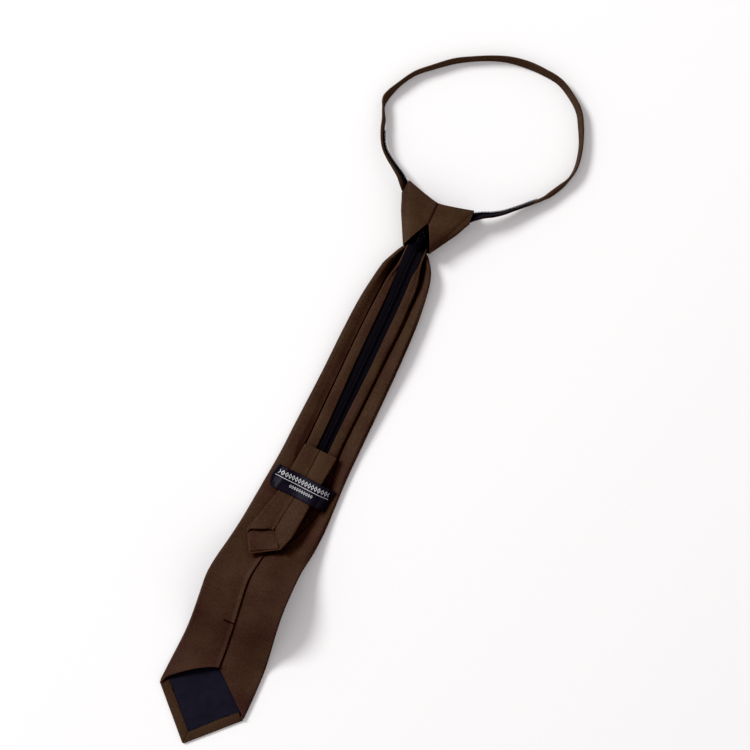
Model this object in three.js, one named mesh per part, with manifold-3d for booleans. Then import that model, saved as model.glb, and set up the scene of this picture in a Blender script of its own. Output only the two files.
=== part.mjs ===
// A zipper necktie, ready tied, lying on its front with its back up.
// Millimetres. +Z is up, and the ground that the tie lies on is z = 0.
// The origin is on the ground under the middle of the knot.
// +Y points from the knot to the neck loop, and the blade runs along -Y.
import * as THREE from 'three';
import Module from 'manifold-3d';
import { mergeVertices } from 'three/addons/utils/BufferGeometryUtils.js';

// Cloth and the gap that loose layers keep
const clothWall = 1.2;
const tailWall = 1.0;
const layerGap = 1.6;
const clear = 0.3;
const seamGap = 0.6;

// Blade
const bladeReach = 444.5;
const bladeWidth = 78;
const bladeTop = 11;
const tipLength = 38;
const flapRise = 32;
const archHeight = 24;
const hemWidth = 7.5;
const tippingWall = 1.0;

// Knot
const knotHeight = 42;
const knotFoot = -21.3;
const knotTopWidth = 66.8;
const knotFootWidth = 23.8;
const knotDepth = 21.5;
const knotDip = 8;
const knotShift = 0.4;
const cornerLift = 4.5;
const cornerSlit = 12;
const veeHeight = 23;
const veeWidth = 23.4;
const knotSquareness = 3;
const knotSettle = 0.7;

// Zipper
const tapeWidth = 7.6;
const tapeWall = 1.0;
const tapeClear = 0.45;
const coilWidth = 1.9;
const coilHeight = 1.2;
const zipShow = 6.6;
const placketReach = 211;
const placketTop = 17;
const placketWidth = 30;
const placketRise = 12;

// Slider
const sliderLength = 10;
const sliderWidth = 8.2;
const sliderPlate = 1.0;
const sliderTop = -4.5;
const postWidth = 0.8;
const pullLength = 18;
const pullWidth = 5;
const pullWall = 1.0;
const pullCorner = 1.2;
const pullTop = 2.9;
const eyeTop = 4.2;
const eyeLength = 3.2;
const eyeWidth = 2.4;
const bridgeHeight = 2.0;
const bridgeLength = 6.2;
const bridgeWidth = 1.6;
const legLength = 1.2;
const postLength = 1.6;

// Tail
const tailLap = 2;
const tailStart = placketReach - tailLap;
const tailLength = 88.7;
const tailWidth = 33;
const tailGap = 1.0;
const tailTip = 15;
const tailFlap = 12;
const tailRise = 10;

// Label that holds the tail
const labelWidth = 51.5;
const labelHeight = 19.5;
const labelWall = 1.0;
const labelDrop = 35.5;
const labelSlope = 7;
const labelPlace = -tailStart - labelDrop;
const labelShift = -0.8;

// Neck loop
const loopSpan = 175;
const loopReach = 137;
const loopStart = 24;
const bandWidth = 9.5;
const bandWall = 2.0;
const bandRise = 9.2;
const rightTapeShare = 0.189;
const leftTapeShare = 0.795;

// Colours of the pieces
const brownCloth = { color: 0x463223, roughness: 0.85, metalness: 0 };
const blackTape = { color: 0x08080c, roughness: 0.8, metalness: 0 };
const blackCoil = { color: 0x0a0a0e, roughness: 0.4, metalness: 0 };
const blackMetal = { color: 0x101014, roughness: 0.35, metalness: 0.6 };
const navySatin = { color: 0x14131f, roughness: 0.45, metalness: 0 };

// Table of named columns
function table(names, ...lines) {
  return lines.map((line) => Object.fromEntries(names.map((name, i) => [name, line[i]])));
}

// The blade, from inside the knot to the corners of its tip. at is a share of
// bladeReach, the other lengths are shares of half the blade's width, lift is a
// share of archHeight, and bend is the angle in degrees that the edge is curled up.
const bladeRows = table(
  ['at', 'left', 'right', 'lift', 'bend', 'flapLeft', 'flapRight'],
  [0.054, 0.315, 0.330, 0.090, 55, 0.210, 0.210],
  [0.063, 0.372, 0.405, 0.085, 53, 0.235, 0.260],
  [0.078, 0.450, 0.500, 0.095, 46, 0.285, 0.330],
  [0.099, 0.545, 0.590, 0.120, 36, 0.335, 0.395],
  [0.135, 0.610, 0.662, 0.165, 21, 0.362, 0.455],
  [0.180, 0.667, 0.718, 0.200, 12, 0.378, 0.482],
  [0.247, 0.700, 0.756, 0.200, 7, 0.380, 0.468],
  [0.337, 0.720, 0.774, 0.120, 5, 0.380, 0.450],
  [0.450, 0.772, 0.772, 0.000, 4, 0.380, 0.420],
  [0.490, 0.785, 0.772, 0.000, 4, 0.380, 0.412],
  [0.525, 0.808, 0.783, 0.000, 4, 0.270, 0.200],
  [0.562, 0.844, 0.805, 0.000, 4, 0.145, 0.040],
  [0.610, 0.890, 0.828, 0.030, 4, 0.125, -0.110],
  [0.652, 0.933, 0.810, 0.180, 4, 0.130, -0.115],
  [0.697, 1.000, 0.744, 0.500, 4, 0.150, -0.135],
  [0.742, 1.082, 0.738, 0.880, 4, 0.215, -0.200],
  [0.772, 1.105, 0.750, 1.000, 4, 0.205, -0.190],
  [0.799, 1.077, 0.777, 0.970, 4, 0.170, -0.155],
  [0.832, 1.041, 0.826, 0.720, 3, 0.120, -0.105],
  [0.870, 1.014, 0.890, 0.250, 2, 0.060, -0.045],
  [0.903, 1.008, 0.932, 0.000, 1, 0.012, 0.003],
  [0.956, 1.028, 0.956, 0.000, 0, -0.010, 0.025],
  [1.000, 1.046, 0.959, 0.000, 0, -0.010, 0.025],
);

// The strip that frames the zipper. at is a share of placketReach, left, right
// and middle are shares of half its width, and rise, over the blade, is a share of
// placketRise.
const placketRows = table(
  ['at', 'left', 'right', 'middle', 'rise'],
  [0.000, 0.640, 0.640, 0.00, 0.845],
  [0.080, 0.640, 0.645, 0.00, 0.880],
  [0.120, 0.642, 0.655, 0.00, 0.855],
  [0.155, 0.672, 0.700, 0.02, 0.755],
  [0.190, 0.773, 0.867, 0.04, 0.55],
  [0.235, 0.852, 1.015, 0.06, 0.39],
  [0.282, 0.873, 1.060, 0.07, 0.28],
  [0.376, 0.920, 1.093, 0.07, 0.200],
  [0.516, 0.940, 1.060, 0.07, 0.165],
  [0.704, 0.940, 1.033, 0.07, 0.155],
  [0.892, 0.940, 0.973, 0.05, 0.150],
  [1.000, 0.940, 0.953, 0.03, 0.150],
);

// The tail. at is a share of tailLength, left, right and seam are shares of half
// its width, and lift, over the blade, is a share of tailRise.
const tailRows = table(
  ['at', 'left', 'right', 'seam', 'lift'],
  [0.00, 0.940, 0.850, -0.130, 0.585],
  [0.27, 1.030, 0.765, -0.170, 0.505],
  [0.53, 1.152, 0.700, -0.273, 0.510],
  [0.69, 1.352, 0.636, -0.394, 0.640],
  [0.86, 1.576, 0.545, -0.470, 0.830],
  [1.00, 1.735, 0.315, -0.500, 0.920],
  [1.17, 1.760, 0.300, -0.500, 0.850],
);

// The knot, from its foot to its top. at is a share of knotHeight, depth and
// lift are shares of knotDepth.
const knotRows = table(
  ['at', 'depth', 'lift'],
  [0.00, 0.90, 0.030],
  [0.25, 1.00, 0.000],
  [0.50, 1.00, 0.000],
  [0.75, 0.98, 0.010],
  [1.00, 0.96, 0.030],
);

// The lower edge of the neck band, from inside the knot's right corner round to
// its left corner. across and along are shares of loopSpan and loopReach, lean is
// the band's angle to the ground in degrees, and rise is a share of bandRise.
const loopRows = table(
  ['across', 'along', 'lean', 'rise'],
  [0.135, -0.018, 27, 0.86],
  [0.172, 0.014, 41, 1.02],
  [0.218, 0.045, 57, 0.94],
  [0.261, 0.072, 64, 0.70],
  [0.305, 0.109, 71, 0.50],
  [0.346, 0.154, 77, 0.32],
  [0.381, 0.203, 80, 0.18],
  [0.413, 0.250, 82, 0.08],
  [0.453, 0.296, 84, 0.02],
  [0.486, 0.343, 86, 0],
  [0.508, 0.396, 86, 0],
  [0.520, 0.446, 83, 0],
  [0.528, 0.528, 82, 0],
  [0.518, 0.610, 78, 0],
  [0.497, 0.692, 76, 0],
  [0.464, 0.772, 70, 0],
  [0.425, 0.852, 69, 0],
  [0.368, 0.912, 69, 0],
  [0.282, 0.967, 66, 0],
  [0.187, 0.980, 65, 0],
  [0.108, 0.976, 63, 0],
  [0.027, 0.961, 68, 0],
  [-0.053, 0.927, 73, 0],
  [-0.135, 0.875, 75, 0],
  [-0.214, 0.811, 73, 0],
  [-0.298, 0.722, 78, 0],
  [-0.360, 0.644, 78, 0],
  [-0.405, 0.546, 77, 0],
  [-0.430, 0.439, 73, 0],
  [-0.434, 0.373, 88, 0.03],
  [-0.409, 0.310, 89, 0.10],
  [-0.390, 0.257, 88, 0.20],
  [-0.364, 0.191, 86, 0.34],
  [-0.336, 0.144, 83, 0.48],
  [-0.299, 0.108, 78, 0.64],
  [-0.255, 0.076, 68, 0.82],
  [-0.211, 0.048, 57, 0.94],
  [-0.174, 0.019, 41, 1.02],
  [-0.135, -0.014, 26, 0.86],
).map((row, i) => ({ at: i, ...row }));

const bladeHalf = bladeWidth / 2;
const placketHalf = placketWidth / 2;
const tailHalf = tailWidth / 2;
const bladeLayers = clothWall * 2 + layerGap;
const tailLayers = tailWall * 2 + tailGap;
const tapeHeight = tailWall + clear + tapeWall / 2;
const loopLast = loopRows.length - 1;

// A column of a table at a place along it, on a smooth curve through its rows
function read(rows, column, at) {
  const last = rows.length - 1;
  let k = 0;
  while (k < last - 1 && at > rows[k + 1].at) k += 1;
  const slope = (i) => {
    const before = rows[Math.max(i - 1, 0)];
    const after = rows[Math.min(i + 1, last)];
    return (after[column] - before[column]) / (after.at - before.at);
  };
  const span = rows[k + 1].at - rows[k].at;
  const t = THREE.MathUtils.clamp((at - rows[k].at) / span, 0, 1);
  const from = rows[k][column];
  const to = rows[k + 1][column];
  const ease = t * t * (3 - 2 * t);
  const out = slope(k) * span * t * (1 - t) * (1 - t);
  const into = slope(k + 1) * span * t * t * (1 - t);
  return from + (to - from) * ease + out - into;
}

// Even steps from one number to another, both ends included
function steps(from, to, count) {
  return Array.from({ length: count + 1 }, (_, i) => from + (to - from) * i / count);
}

// A closed geometry from points and triangles
function closedGeometry(points, triangles) {
  const geometry = new THREE.BufferGeometry();
  const places = points.flatMap((point) => point.toArray());
  geometry.setAttribute('position', new THREE.Float32BufferAttribute(places, 3));
  geometry.setIndex(triangles.flat());
  geometry.computeVertexNormals();
  return geometry;
}

// A sheet of one thickness round a grid of points at its middle. Its upper face
// looks along (step between rows) x (step between points of a row).
function sheet(grid, wall) {
  const rows = grid.length;
  const width = grid[0].length;
  const upper = [];
  const lower = [];
  for (let i = 0; i < rows; i += 1) {
    for (let j = 0; j < width; j += 1) {
      const down = grid[Math.min(i + 1, rows - 1)][j].clone().sub(grid[Math.max(i - 1, 0)][j]);
      const over = grid[i][Math.min(j + 1, width - 1)].clone().sub(grid[i][Math.max(j - 1, 0)]);
      const normal = down.cross(over).normalize();
      upper.push(grid[i][j].clone().addScaledVector(normal, wall / 2));
      lower.push(grid[i][j].clone().addScaledVector(normal, -wall / 2));
    }
  }
  const under = rows * width;
  const triangles = [];
  const quad = (a, b, c, d) => triangles.push([a, b, c], [a, c, d]);
  for (let i = 0; i < rows - 1; i += 1) {
    for (let j = 0; j < width - 1; j += 1) {
      const a = i * width + j;
      quad(a, a + width, a + width + 1, a + 1);
      quad(under + a, under + a + 1, under + a + width + 1, under + a + width);
    }
    const first = i * width;
    const end = first + width - 1;
    quad(first, under + first, under + first + width, first + width);
    quad(end + width, under + end + width, under + end, end);
  }
  for (let j = 0; j < width - 1; j += 1) {
    const far = (rows - 1) * width + j;
    quad(j + 1, under + j + 1, under + j, j);
    quad(far, under + far, under + far + 1, far + 1);
  }
  return closedGeometry([...upper, ...lower], triangles);
}

const wasm = await Module();
wasm.setup();

// A solid that can be joined and cut
function solid(geometry) {
  const bare = geometry.clone();
  bare.deleteAttribute('normal');
  bare.deleteAttribute('uv');
  const merged = mergeVertices(bare, 1e-4);
  return new wasm.Manifold(new wasm.Mesh({
    numProp: 3,
    vertProperties: new Float32Array(merged.attributes.position.array),
    triVerts: new Uint32Array(merged.index.array),
  }));
}

// The geometry of a joined solid
function surface(body) {
  const mesh = body.getMesh();
  const geometry = new THREE.BufferGeometry();
  const places = new Float32Array(mesh.vertProperties);
  geometry.setAttribute('position', new THREE.BufferAttribute(places, 3));
  geometry.setIndex(new THREE.BufferAttribute(new Uint32Array(mesh.triVerts), 1));
  geometry.computeVertexNormals();
  return geometry;
}

function joined(geometries) {
  return surface(geometries.map(solid).reduce((whole, next) => whole.add(next)));
}

// A plate of one thickness from its outline, with its underside at a height
function plate(outline, wall, bottom) {
  return new THREE.ExtrudeGeometry(outline, { depth: wall, bevelEnabled: false })
    .translate(0, 0, bottom);
}

// A box with its centre at a place
function block(width, length, height, x, y, z) {
  return new THREE.BoxGeometry(width, length, height).translate(x, y, z);
}

// Points across a folded strip: flap, fold, front, fold, flap. Each has its
// place s along the cloth from the middle, its height h over the front's outer
// face and which layer it is in.
function foldedStrip(halfArc, wall, gap, leftEnd, rightEnd, counts) {
  const turn = (wall + gap) / 2;
  const centre = halfArc - wall / 2 - turn;
  const low = wall / 2;
  const high = low + 2 * turn;
  const points = [];
  for (const s of steps(Math.min(leftEnd, centre - 0.2), -centre, counts.flap).slice(0, -1)) {
    points.push({ s: Math.max(s, -centre), h: high, layer: 'flap' });
  }
  for (const angle of steps(90, 270, counts.fold)) {
    const a = THREE.MathUtils.degToRad(angle);
    points.push({ s: -centre + turn * Math.cos(a), h: low + turn + turn * Math.sin(a), layer: 'front' });
  }
  for (const s of steps(-centre, centre, counts.front).slice(1, -1)) {
    points.push({ s, h: low, layer: 'front' });
  }
  for (const angle of steps(-90, 90, counts.fold)) {
    const a = THREE.MathUtils.degToRad(angle);
    points.push({ s: centre + turn * Math.cos(a), h: low + turn + turn * Math.sin(a), layer: 'front' });
  }
  for (const s of steps(centre, Math.max(rightEnd, 0.2 - centre), counts.flap).slice(1)) {
    points.push({ s, h: high, layer: 'flap' });
  }
  return points;
}

// How far a row is pushed along the strip at its pointed end: the front's tip
// goes on past the corners, and the flaps' edges rise to the seam.
function pointedShift(share, layer, peak, drop, rise, growth) {
  const reach = share < peak ? (share + 1) / (peak + 1) : (1 - share) / (1 - peak);
  return growth * THREE.MathUtils.clamp(reach, 0, 1) * (layer === 'flap' ? rise : -drop);
}

// Height of the blade's outer face over the ground
function bladeLift(y) {
  return Math.max(0, read(bladeRows, 'lift', -y / bladeReach)) * archHeight;
}

// The middle line, half width and curl of the blade at a place along it
function bladeForm(at) {
  const left = read(bladeRows, 'left', at) * bladeHalf;
  const right = read(bladeRows, 'right', at) * bladeHalf;
  const bend = THREE.MathUtils.degToRad(Math.max(read(bladeRows, 'bend', at), 0.05));
  const half = (left + right) / 2;
  return { middle: (right - left) / 2, half, bend, radius: half / Math.sin(bend) };
}

// A row of the blade's cloth
function bladeRow(at) {
  const { middle, half, bend, radius } = bladeForm(at);
  const inner = radius - bladeLayers + clothWall / 2;
  const onFlap = (x) => radius * Math.asin(THREE.MathUtils.clamp((x - middle) / inner, -0.99, 0.99));
  const leftEnd = onFlap(-read(bladeRows, 'flapLeft', at) * bladeHalf);
  const rightEnd = onFlap(read(bladeRows, 'flapRight', at) * bladeHalf);
  const halfArc = radius * bend;
  const counts = { flap: 3, fold: 4, front: 8 };
  const growth = THREE.MathUtils.clamp((at - 0.9) / 0.1, 0, 1) ** 1.4;
  const points = foldedStrip(halfArc, clothWall, layerGap, leftEnd, rightEnd, counts);
  return points.map(({ s, h, layer }) => {
    const angle = s / radius;
    const shift = pointedShift(s / halfArc, layer, 0, tipLength, flapRise, growth);
    const y = -at * bladeReach + shift;
    const x = middle + (radius - h) * Math.sin(angle);
    return new THREE.Vector3(x, y, bladeLift(y) + radius - (radius - h) * Math.cos(angle));
  });
}

// The blade's places where a row is built: close together at both ends
function bladeStations() {
  const neck = steps(bladeRows[0].at, 0.14, 6);
  const body = steps(0.14, 0.66, 12).slice(1);
  const arch = steps(0.66, 0.9, 8).slice(1);
  const tip = steps(0.9, 1, 4).slice(1);
  return [...neck, ...body, ...arch, ...tip];
}

// A row of the blade inside the knot, as wide as the knot's foot lets it be
function bladeNeckRow(y) {
  const { middle, half } = bladeForm(bladeRows[0].at);
  const room = knotFootWidth / 2 - clothWall - 2 * clear;
  return bladeRow(bladeRows[0].at).map((point) => {
    return new THREE.Vector3(knotShift + (point.x - middle) * room / half, y, point.z);
  });
}

// The outline of the pointed end, moved inward by a distance
function tipCorners(inset) {
  const { middle, half } = bladeForm(1);
  const slant = Math.hypot(half, tipLength);
  const across = inset * slant / tipLength;
  const along = inset * slant / half;
  return {
    left: new THREE.Vector2(middle - half + across, -bladeReach),
    tip: new THREE.Vector2(middle, -bladeReach - tipLength + along),
    right: new THREE.Vector2(middle + half - across, -bladeReach),
  };
}

// The hem turned up along both edges of the tip
function hemGeometry() {
  const outer = tipCorners(clothWall / 4);
  const inner = tipCorners(hemWidth);
  const outline = new THREE.Shape([
    outer.left, outer.tip, outer.right, inner.right, inner.tip, inner.left,
  ]);
  const bite = clothWall / 2;
  return plate(outline, clothWall + bite, clothWall - bite);
}

function bladeGeometry() {
  const inside = steps(-bladeTop, knotFoot - clear, 2).map(bladeNeckRow);
  const grid = [...inside, ...bladeStations().map(bladeRow)];
  return joined([sheet(grid, clothWall), hemGeometry()]);
}

// The satin facing inside the tip, under the flaps and up to the hem
function tippingGeometry() {
  const { left, tip, right } = tipCorners(hemWidth + clear);
  const cover = flapRise * 1.15;
  const outline = new THREE.Shape([
    left,
    tip,
    right,
    new THREE.Vector2(right.x * 0.9, -bladeReach + cover * 0.3),
    new THREE.Vector2(right.x * 0.3, -bladeReach + cover),
    new THREE.Vector2(left.x * 0.3, -bladeReach + cover),
    new THREE.Vector2(left.x * 0.9, -bladeReach + cover * 0.3),
  ]);
  return plate(outline, tippingWall, clothWall + clear);
}

// Outline of the knot at a share of its height: half its width, its half depth
// and its middle's height
function knotForm(at) {
  const half = THREE.MathUtils.lerp(knotFootWidth, knotTopWidth, at) / 2;
  const depth = read(knotRows, 'depth', at) * knotDepth / 2;
  const lift = Math.max(0, read(knotRows, 'lift', at)) * knotDepth;
  return { half, depth, middle: lift + depth };
}

// A point of the knot's cloth. The angle is measured from the middle of its back,
// and the front is pressed flat by knotSettle where it lies on the ground.
function knotPoint(at, angle) {
  const { half, depth, middle } = knotForm(at);
  const roundness = 2 / knotSquareness;
  const sine = Math.sin(angle);
  const cosine = Math.cos(angle);
  const share = Math.sign(sine) * Math.abs(sine) ** roundness;
  const height = Math.sign(cosine) * Math.abs(cosine) ** roundness;
  const wall = clothWall / 2;
  const side = Math.abs(share);
  const top = knotDip * side ** 1.2 - cornerSlit * THREE.MathUtils.smoothstep(side, 0.93, 1);
  const y = knotFoot + at * (knotHeight + top);
  const lift = cornerLift * at * side ** 4;
  const z = middle + height * (depth - wall) + lift - knotSettle;
  return new THREE.Vector3(knotShift + share * (half - wall), y, Math.max(z, wall));
}

// The knot: one cloth wrapped round, meeting in a seam at the middle of the back
// that opens into an upturned V at its foot
function knotGeometry() {
  const apex = veeHeight / knotHeight;
  const grid = steps(0, 1, 12).map((at) => {
    const { half } = knotForm(at);
    const open = Math.max(seamGap, veeWidth / 2 * (1 - at / apex)) / half;
    const start = Math.asin(open ** (knotSquareness / 2));
    return steps(start, 2 * Math.PI - start, 34).map((angle) => knotPoint(at, angle));
  });
  return sheet(grid, clothWall);
}

// A column of the placket's table at a place along the tie
function placketAt(column, y) {
  return read(placketRows, column, (-y - placketTop) / (placketReach - placketTop));
}

// Height of the underside of the placket, and the middle of its zipper
function placketBase(y) {
  return bladeLift(y) + placketAt('rise', y) * placketRise;
}

function zipMiddle(y) {
  return placketAt('middle', y) * placketHalf;
}

// The placket: a strip folded over both edges of the zipper tape
function placketGeometry() {
  const counts = { flap: 2, fold: 4, front: 3 };
  const grid = steps(0, 1, 26).map((at) => {
    const left = read(placketRows, 'left', at) * placketHalf;
    const right = read(placketRows, 'right', at) * placketHalf;
    const y = -placketTop - at * (placketReach - placketTop);
    const middle = (right - left) / 2;
    const slot = zipMiddle(y) - middle;
    const half = (left + right) / 2;
    return foldedStrip(half, tailWall, layerGap, slot - zipShow, slot + zipShow, counts)
      .map(({ s, h }) => new THREE.Vector3(middle + s, y, placketBase(y) + h));
  });
  return sheet(grid, tailWall);
}

// Height of the tail's underside at a distance along it
function tailBase(along) {
  return bladeLift(-tailStart - along) + read(tailRows, 'lift', along / tailLength) * tailRise;
}

// The tail: a flat tube with a seam at its back and a pointed end
function tailGeometry() {
  const counts = { flap: 3, fold: 4, front: 6 };
  const peak = -0.34;
  const seamPeak = 0.16;
  const grid = steps(0, 1, 14).map((at) => {
    const left = read(tailRows, 'left', at) * tailHalf;
    const right = read(tailRows, 'right', at) * tailHalf;
    const middle = (right - left) / 2;
    const half = (left + right) / 2;
    const seam = read(tailRows, 'seam', at) * tailHalf - middle;
    const growth = THREE.MathUtils.clamp((at - 0.8) / 0.2, 0, 1) ** 1.3;
    const ends = [seam - seamGap / 2, seam + seamGap / 2];
    return foldedStrip(half, tailWall, tailGap, ...ends, counts).map(({ s, h, layer }) => {
      const point = layer === 'flap' ? seamPeak : peak;
      const shift = pointedShift(s / half, layer, point, tailTip, tailFlap, growth);
      const along = at * tailLength - shift;
      return new THREE.Vector3(middle + s, -tailStart - along, tailBase(along) + h);
    });
  });
  return sheet(grid, tailWall);
}

// The label: its ends lie on the blade's flaps and its middle passes over the tail
function labelGeometry() {
  const at = labelDrop / tailLength;
  const left = -read(tailRows, 'left', at) * tailHalf - clear;
  const right = read(tailRows, 'right', at) * tailHalf + clear;
  const { radius } = bladeForm(-labelPlace / bladeReach);
  const curl = radius - Math.sqrt(radius ** 2 - (labelWidth / 2) ** 2);
  const grid = steps(-0.5, 0.5, 22).map((share) => {
    const x = labelShift + share * labelWidth;
    const over = THREE.MathUtils.smoothstep(x, left - labelSlope, left - clothWall)
      * (1 - THREE.MathUtils.smoothstep(x, right + clothWall, right + labelSlope));
    return steps(0.5, -0.5, 4).map((tall) => {
      const y = labelPlace + tall * labelHeight;
      const flapTop = bladeLift(y) + bladeLayers + curl + clear;
      const tailTop = tailBase(-tailStart - y) + tailLayers + 2 * clear;
      const base = THREE.MathUtils.lerp(flapTop, tailTop, over);
      return new THREE.Vector3(x, y, base + labelWall / 2);
    });
  });
  return sheet(grid.reverse(), labelWall);
}

// A place on the lower edge of the neck band, with its direction, the way out
// from the loop, and the slant of the band
function loopPlace(at) {
  const spot = (t) => new THREE.Vector3(
    read(loopRows, 'across', t) * loopSpan,
    loopStart + read(loopRows, 'along', t) * loopReach,
    Math.max(0, read(loopRows, 'rise', t)) * bandRise,
  );
  const ahead = spot(Math.min(at + 0.1, loopLast)).sub(spot(Math.max(at - 0.1, 0)));
  ahead.setZ(0).normalize();
  const outward = new THREE.Vector3(ahead.y, -ahead.x, 0);
  return { edge: spot(at), outward, lean: THREE.MathUtils.degToRad(read(loopRows, 'lean', at)) };
}

// Directions across a leaning strip and out of its inner face
function leaning(outward, lean) {
  const across = outward.clone().multiplyScalar(Math.cos(lean)).setZ(Math.sin(lean));
  const face = outward.clone().multiplyScalar(-Math.sin(lean)).setZ(Math.cos(lean));
  return { across, face };
}

// A point of the neck band: in from its lower edge, and over its middle layer
function bandPoint(at, inward, over) {
  const { edge, outward, lean } = loopPlace(at);
  const { across, face } = leaning(outward, lean);
  const floor = bandWall / 2 * Math.cos(lean);
  return edge.clone().setZ(edge.z + floor)
    .addScaledVector(across, inward)
    .addScaledVector(face, over);
}

function neckBandGeometry() {
  const grid = steps(0, loopLast, loopLast * 2).map((at) => {
    return [0, 0.5, 1].map((share) => bandPoint(at, share * bandWidth, 0));
  });
  return sheet(grid, bandWall);
}

// Places along one half of the zipper tape. side is 1 on the right and -1 on the
// left. Each holds the tape's inner edge, the way across it and its upper face.
function tapeRoute(side) {
  const places = [];
  const flat = new THREE.Vector3(side, 0, 0);
  const up = new THREE.Vector3(0, 0, 1);
  for (const y of steps(-placketReach + clear, sliderTop - sliderLength, 26)) {
    const middle = y < -placketTop ? zipMiddle(y) : 0;
    const height = placketBase(Math.min(y, -placketTop)) + tapeHeight;
    const edge = new THREE.Vector3(middle + side * clear / 2, y, height);
    places.push({ edge, across: flat, face: up });
  }
  const low = places.at(-1);
  const corner = side > 0 ? 1 : loopLast - 1;
  const over = bandWall / 2 + tapeClear + tapeWall / 2;
  const rim = bandWidth - tapeWidth - tailWall;
  const stop = loopLast * (side > 0 ? rightTapeShare : leftTapeShare);
  const start = loopPlace(corner);
  const slant = leaning(start.outward, start.lean);
  const exit = bandPoint(corner, rim, over);
  const turns = 7;
  for (const t of steps(0, 1, turns).slice(1, -1)) {
    const ease = t * t * (3 - 2 * t);
    const edge = low.edge.clone().lerp(exit, t);
    edge.y = THREE.MathUtils.lerp(low.edge.y, exit.y, 1 - (1 - t) ** 1.5);
    const across = flat.clone().lerp(slant.across, ease).normalize();
    const face = up.clone().lerp(slant.face, ease);
    face.addScaledVector(across, -face.dot(across)).normalize();
    places.push({ edge, across, face });
  }
  for (const at of steps(corner, stop, 12)) {
    const { outward, lean } = loopPlace(at);
    places.push({ edge: bandPoint(at, rim, over), ...leaning(outward, lean) });
  }
  return places;
}

// A strip that follows the tape: from one distance in from its inner edge to
// another, at a height over its middle layer
function tapeStrip(side, from, to, height, wall) {
  const grid = tapeRoute(side).map(({ edge, across, face }) => {
    const ends = side > 0 ? [from, to] : [to, from];
    return steps(ends[0], ends[1], 2).map((reach) => {
      return edge.clone().addScaledVector(across, reach).addScaledVector(face, height);
    });
  });
  return sheet(grid.reverse(), wall);
}

function tapeGeometry(side) {
  return tapeStrip(side, 0, tapeWidth, 0, tapeWall);
}

function coilGeometry(side) {
  return tapeStrip(side, 0, coilWidth, tapeWall / 2 + clear + coilHeight / 2, coilHeight);
}

// Height of the tape's middle where it runs through the slider
function sliderHeight() {
  return placketBase(-placketTop) + tapeHeight;
}

function sliderMiddle() {
  return sliderTop - sliderLength * 0.3;
}

// The slider: two plates, the post between the rows of teeth and the bridge
function sliderGeometry() {
  const base = sliderHeight();
  const under = base - tapeWall / 2 - clear * 2 - sliderPlate / 2;
  const over = base + tapeWall / 2 + clear + coilHeight + clear + sliderPlate / 2;
  const middle = sliderMiddle();
  const post = middle + (sliderLength - postLength) / 2;
  const bar = middle + sliderPlate / 2;
  const reach = (bridgeLength - legLength) / 2;
  const leg = bridgeHeight + sliderPlate;
  return joined([
    block(sliderWidth, sliderLength, sliderPlate, 0, middle, under),
    block(sliderWidth, sliderLength, sliderPlate, 0, middle, over),
    block(postWidth, postLength, over - under, 0, post, (under + over) / 2),
    block(bridgeWidth, legLength, leg, 0, bar + reach, over + bridgeHeight / 2),
    block(bridgeWidth, legLength, leg, 0, bar - reach, over + bridgeHeight / 2),
    block(bridgeWidth, bridgeLength, postWidth, 0, bar, over + bridgeHeight + sliderPlate / 2),
  ]);
}

// The pull tab, looped round the slider's bridge
function pullGeometry() {
  const top = sliderHeight() + tapeWall / 2 + clear * 2 + coilHeight + sliderPlate;
  const start = sliderTop + sliderPlate;
  const half = pullWidth / 2;
  const low = start - pullLength;
  const outline = new THREE.Shape([
    new THREE.Vector2(-half, low + pullCorner),
    new THREE.Vector2(-half + pullCorner, low),
    new THREE.Vector2(half - pullCorner, low),
    new THREE.Vector2(half, low + pullCorner),
    new THREE.Vector2(half, start - pullTop),
    new THREE.Vector2(-half, start - pullTop),
  ]);
  outline.holes.push(new THREE.Path([
    new THREE.Vector2(-eyeWidth / 2, start - eyeTop),
    new THREE.Vector2(-eyeWidth / 2, start - eyeTop - eyeLength),
    new THREE.Vector2(eyeWidth / 2, start - eyeTop - eyeLength),
    new THREE.Vector2(eyeWidth / 2, start - eyeTop),
  ]));
  return plate(outline, pullWall, top + clear);
}

const tie = new THREE.Group();

function add(name, geometry, look) {
  const mesh = new THREE.Mesh(geometry, new THREE.MeshStandardMaterial(look));
  mesh.name = name;
  tie.add(mesh);
}

add('blade', bladeGeometry(), brownCloth);
add('blade_tipping', tippingGeometry(), navySatin);
add('knot', knotGeometry(), brownCloth);
add('zip_placket', placketGeometry(), brownCloth);
add('zip_tape_right', tapeGeometry(1), blackTape);
add('zip_tape_left', tapeGeometry(-1), blackTape);
add('zip_coil_right', coilGeometry(1), blackCoil);
add('zip_coil_left', coilGeometry(-1), blackCoil);
add('zip_slider', sliderGeometry(), blackMetal);
add('zip_pull', pullGeometry(), blackMetal);
add('tail', tailGeometry(), brownCloth);
add('label_keeper', labelGeometry(), navySatin);
add('neck_band', neckBandGeometry(), brownCloth);

export default tie;
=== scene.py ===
# A zipper necktie lying on its front, seen from straight above.
import math
from functools import partialmethod, reduce

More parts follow.
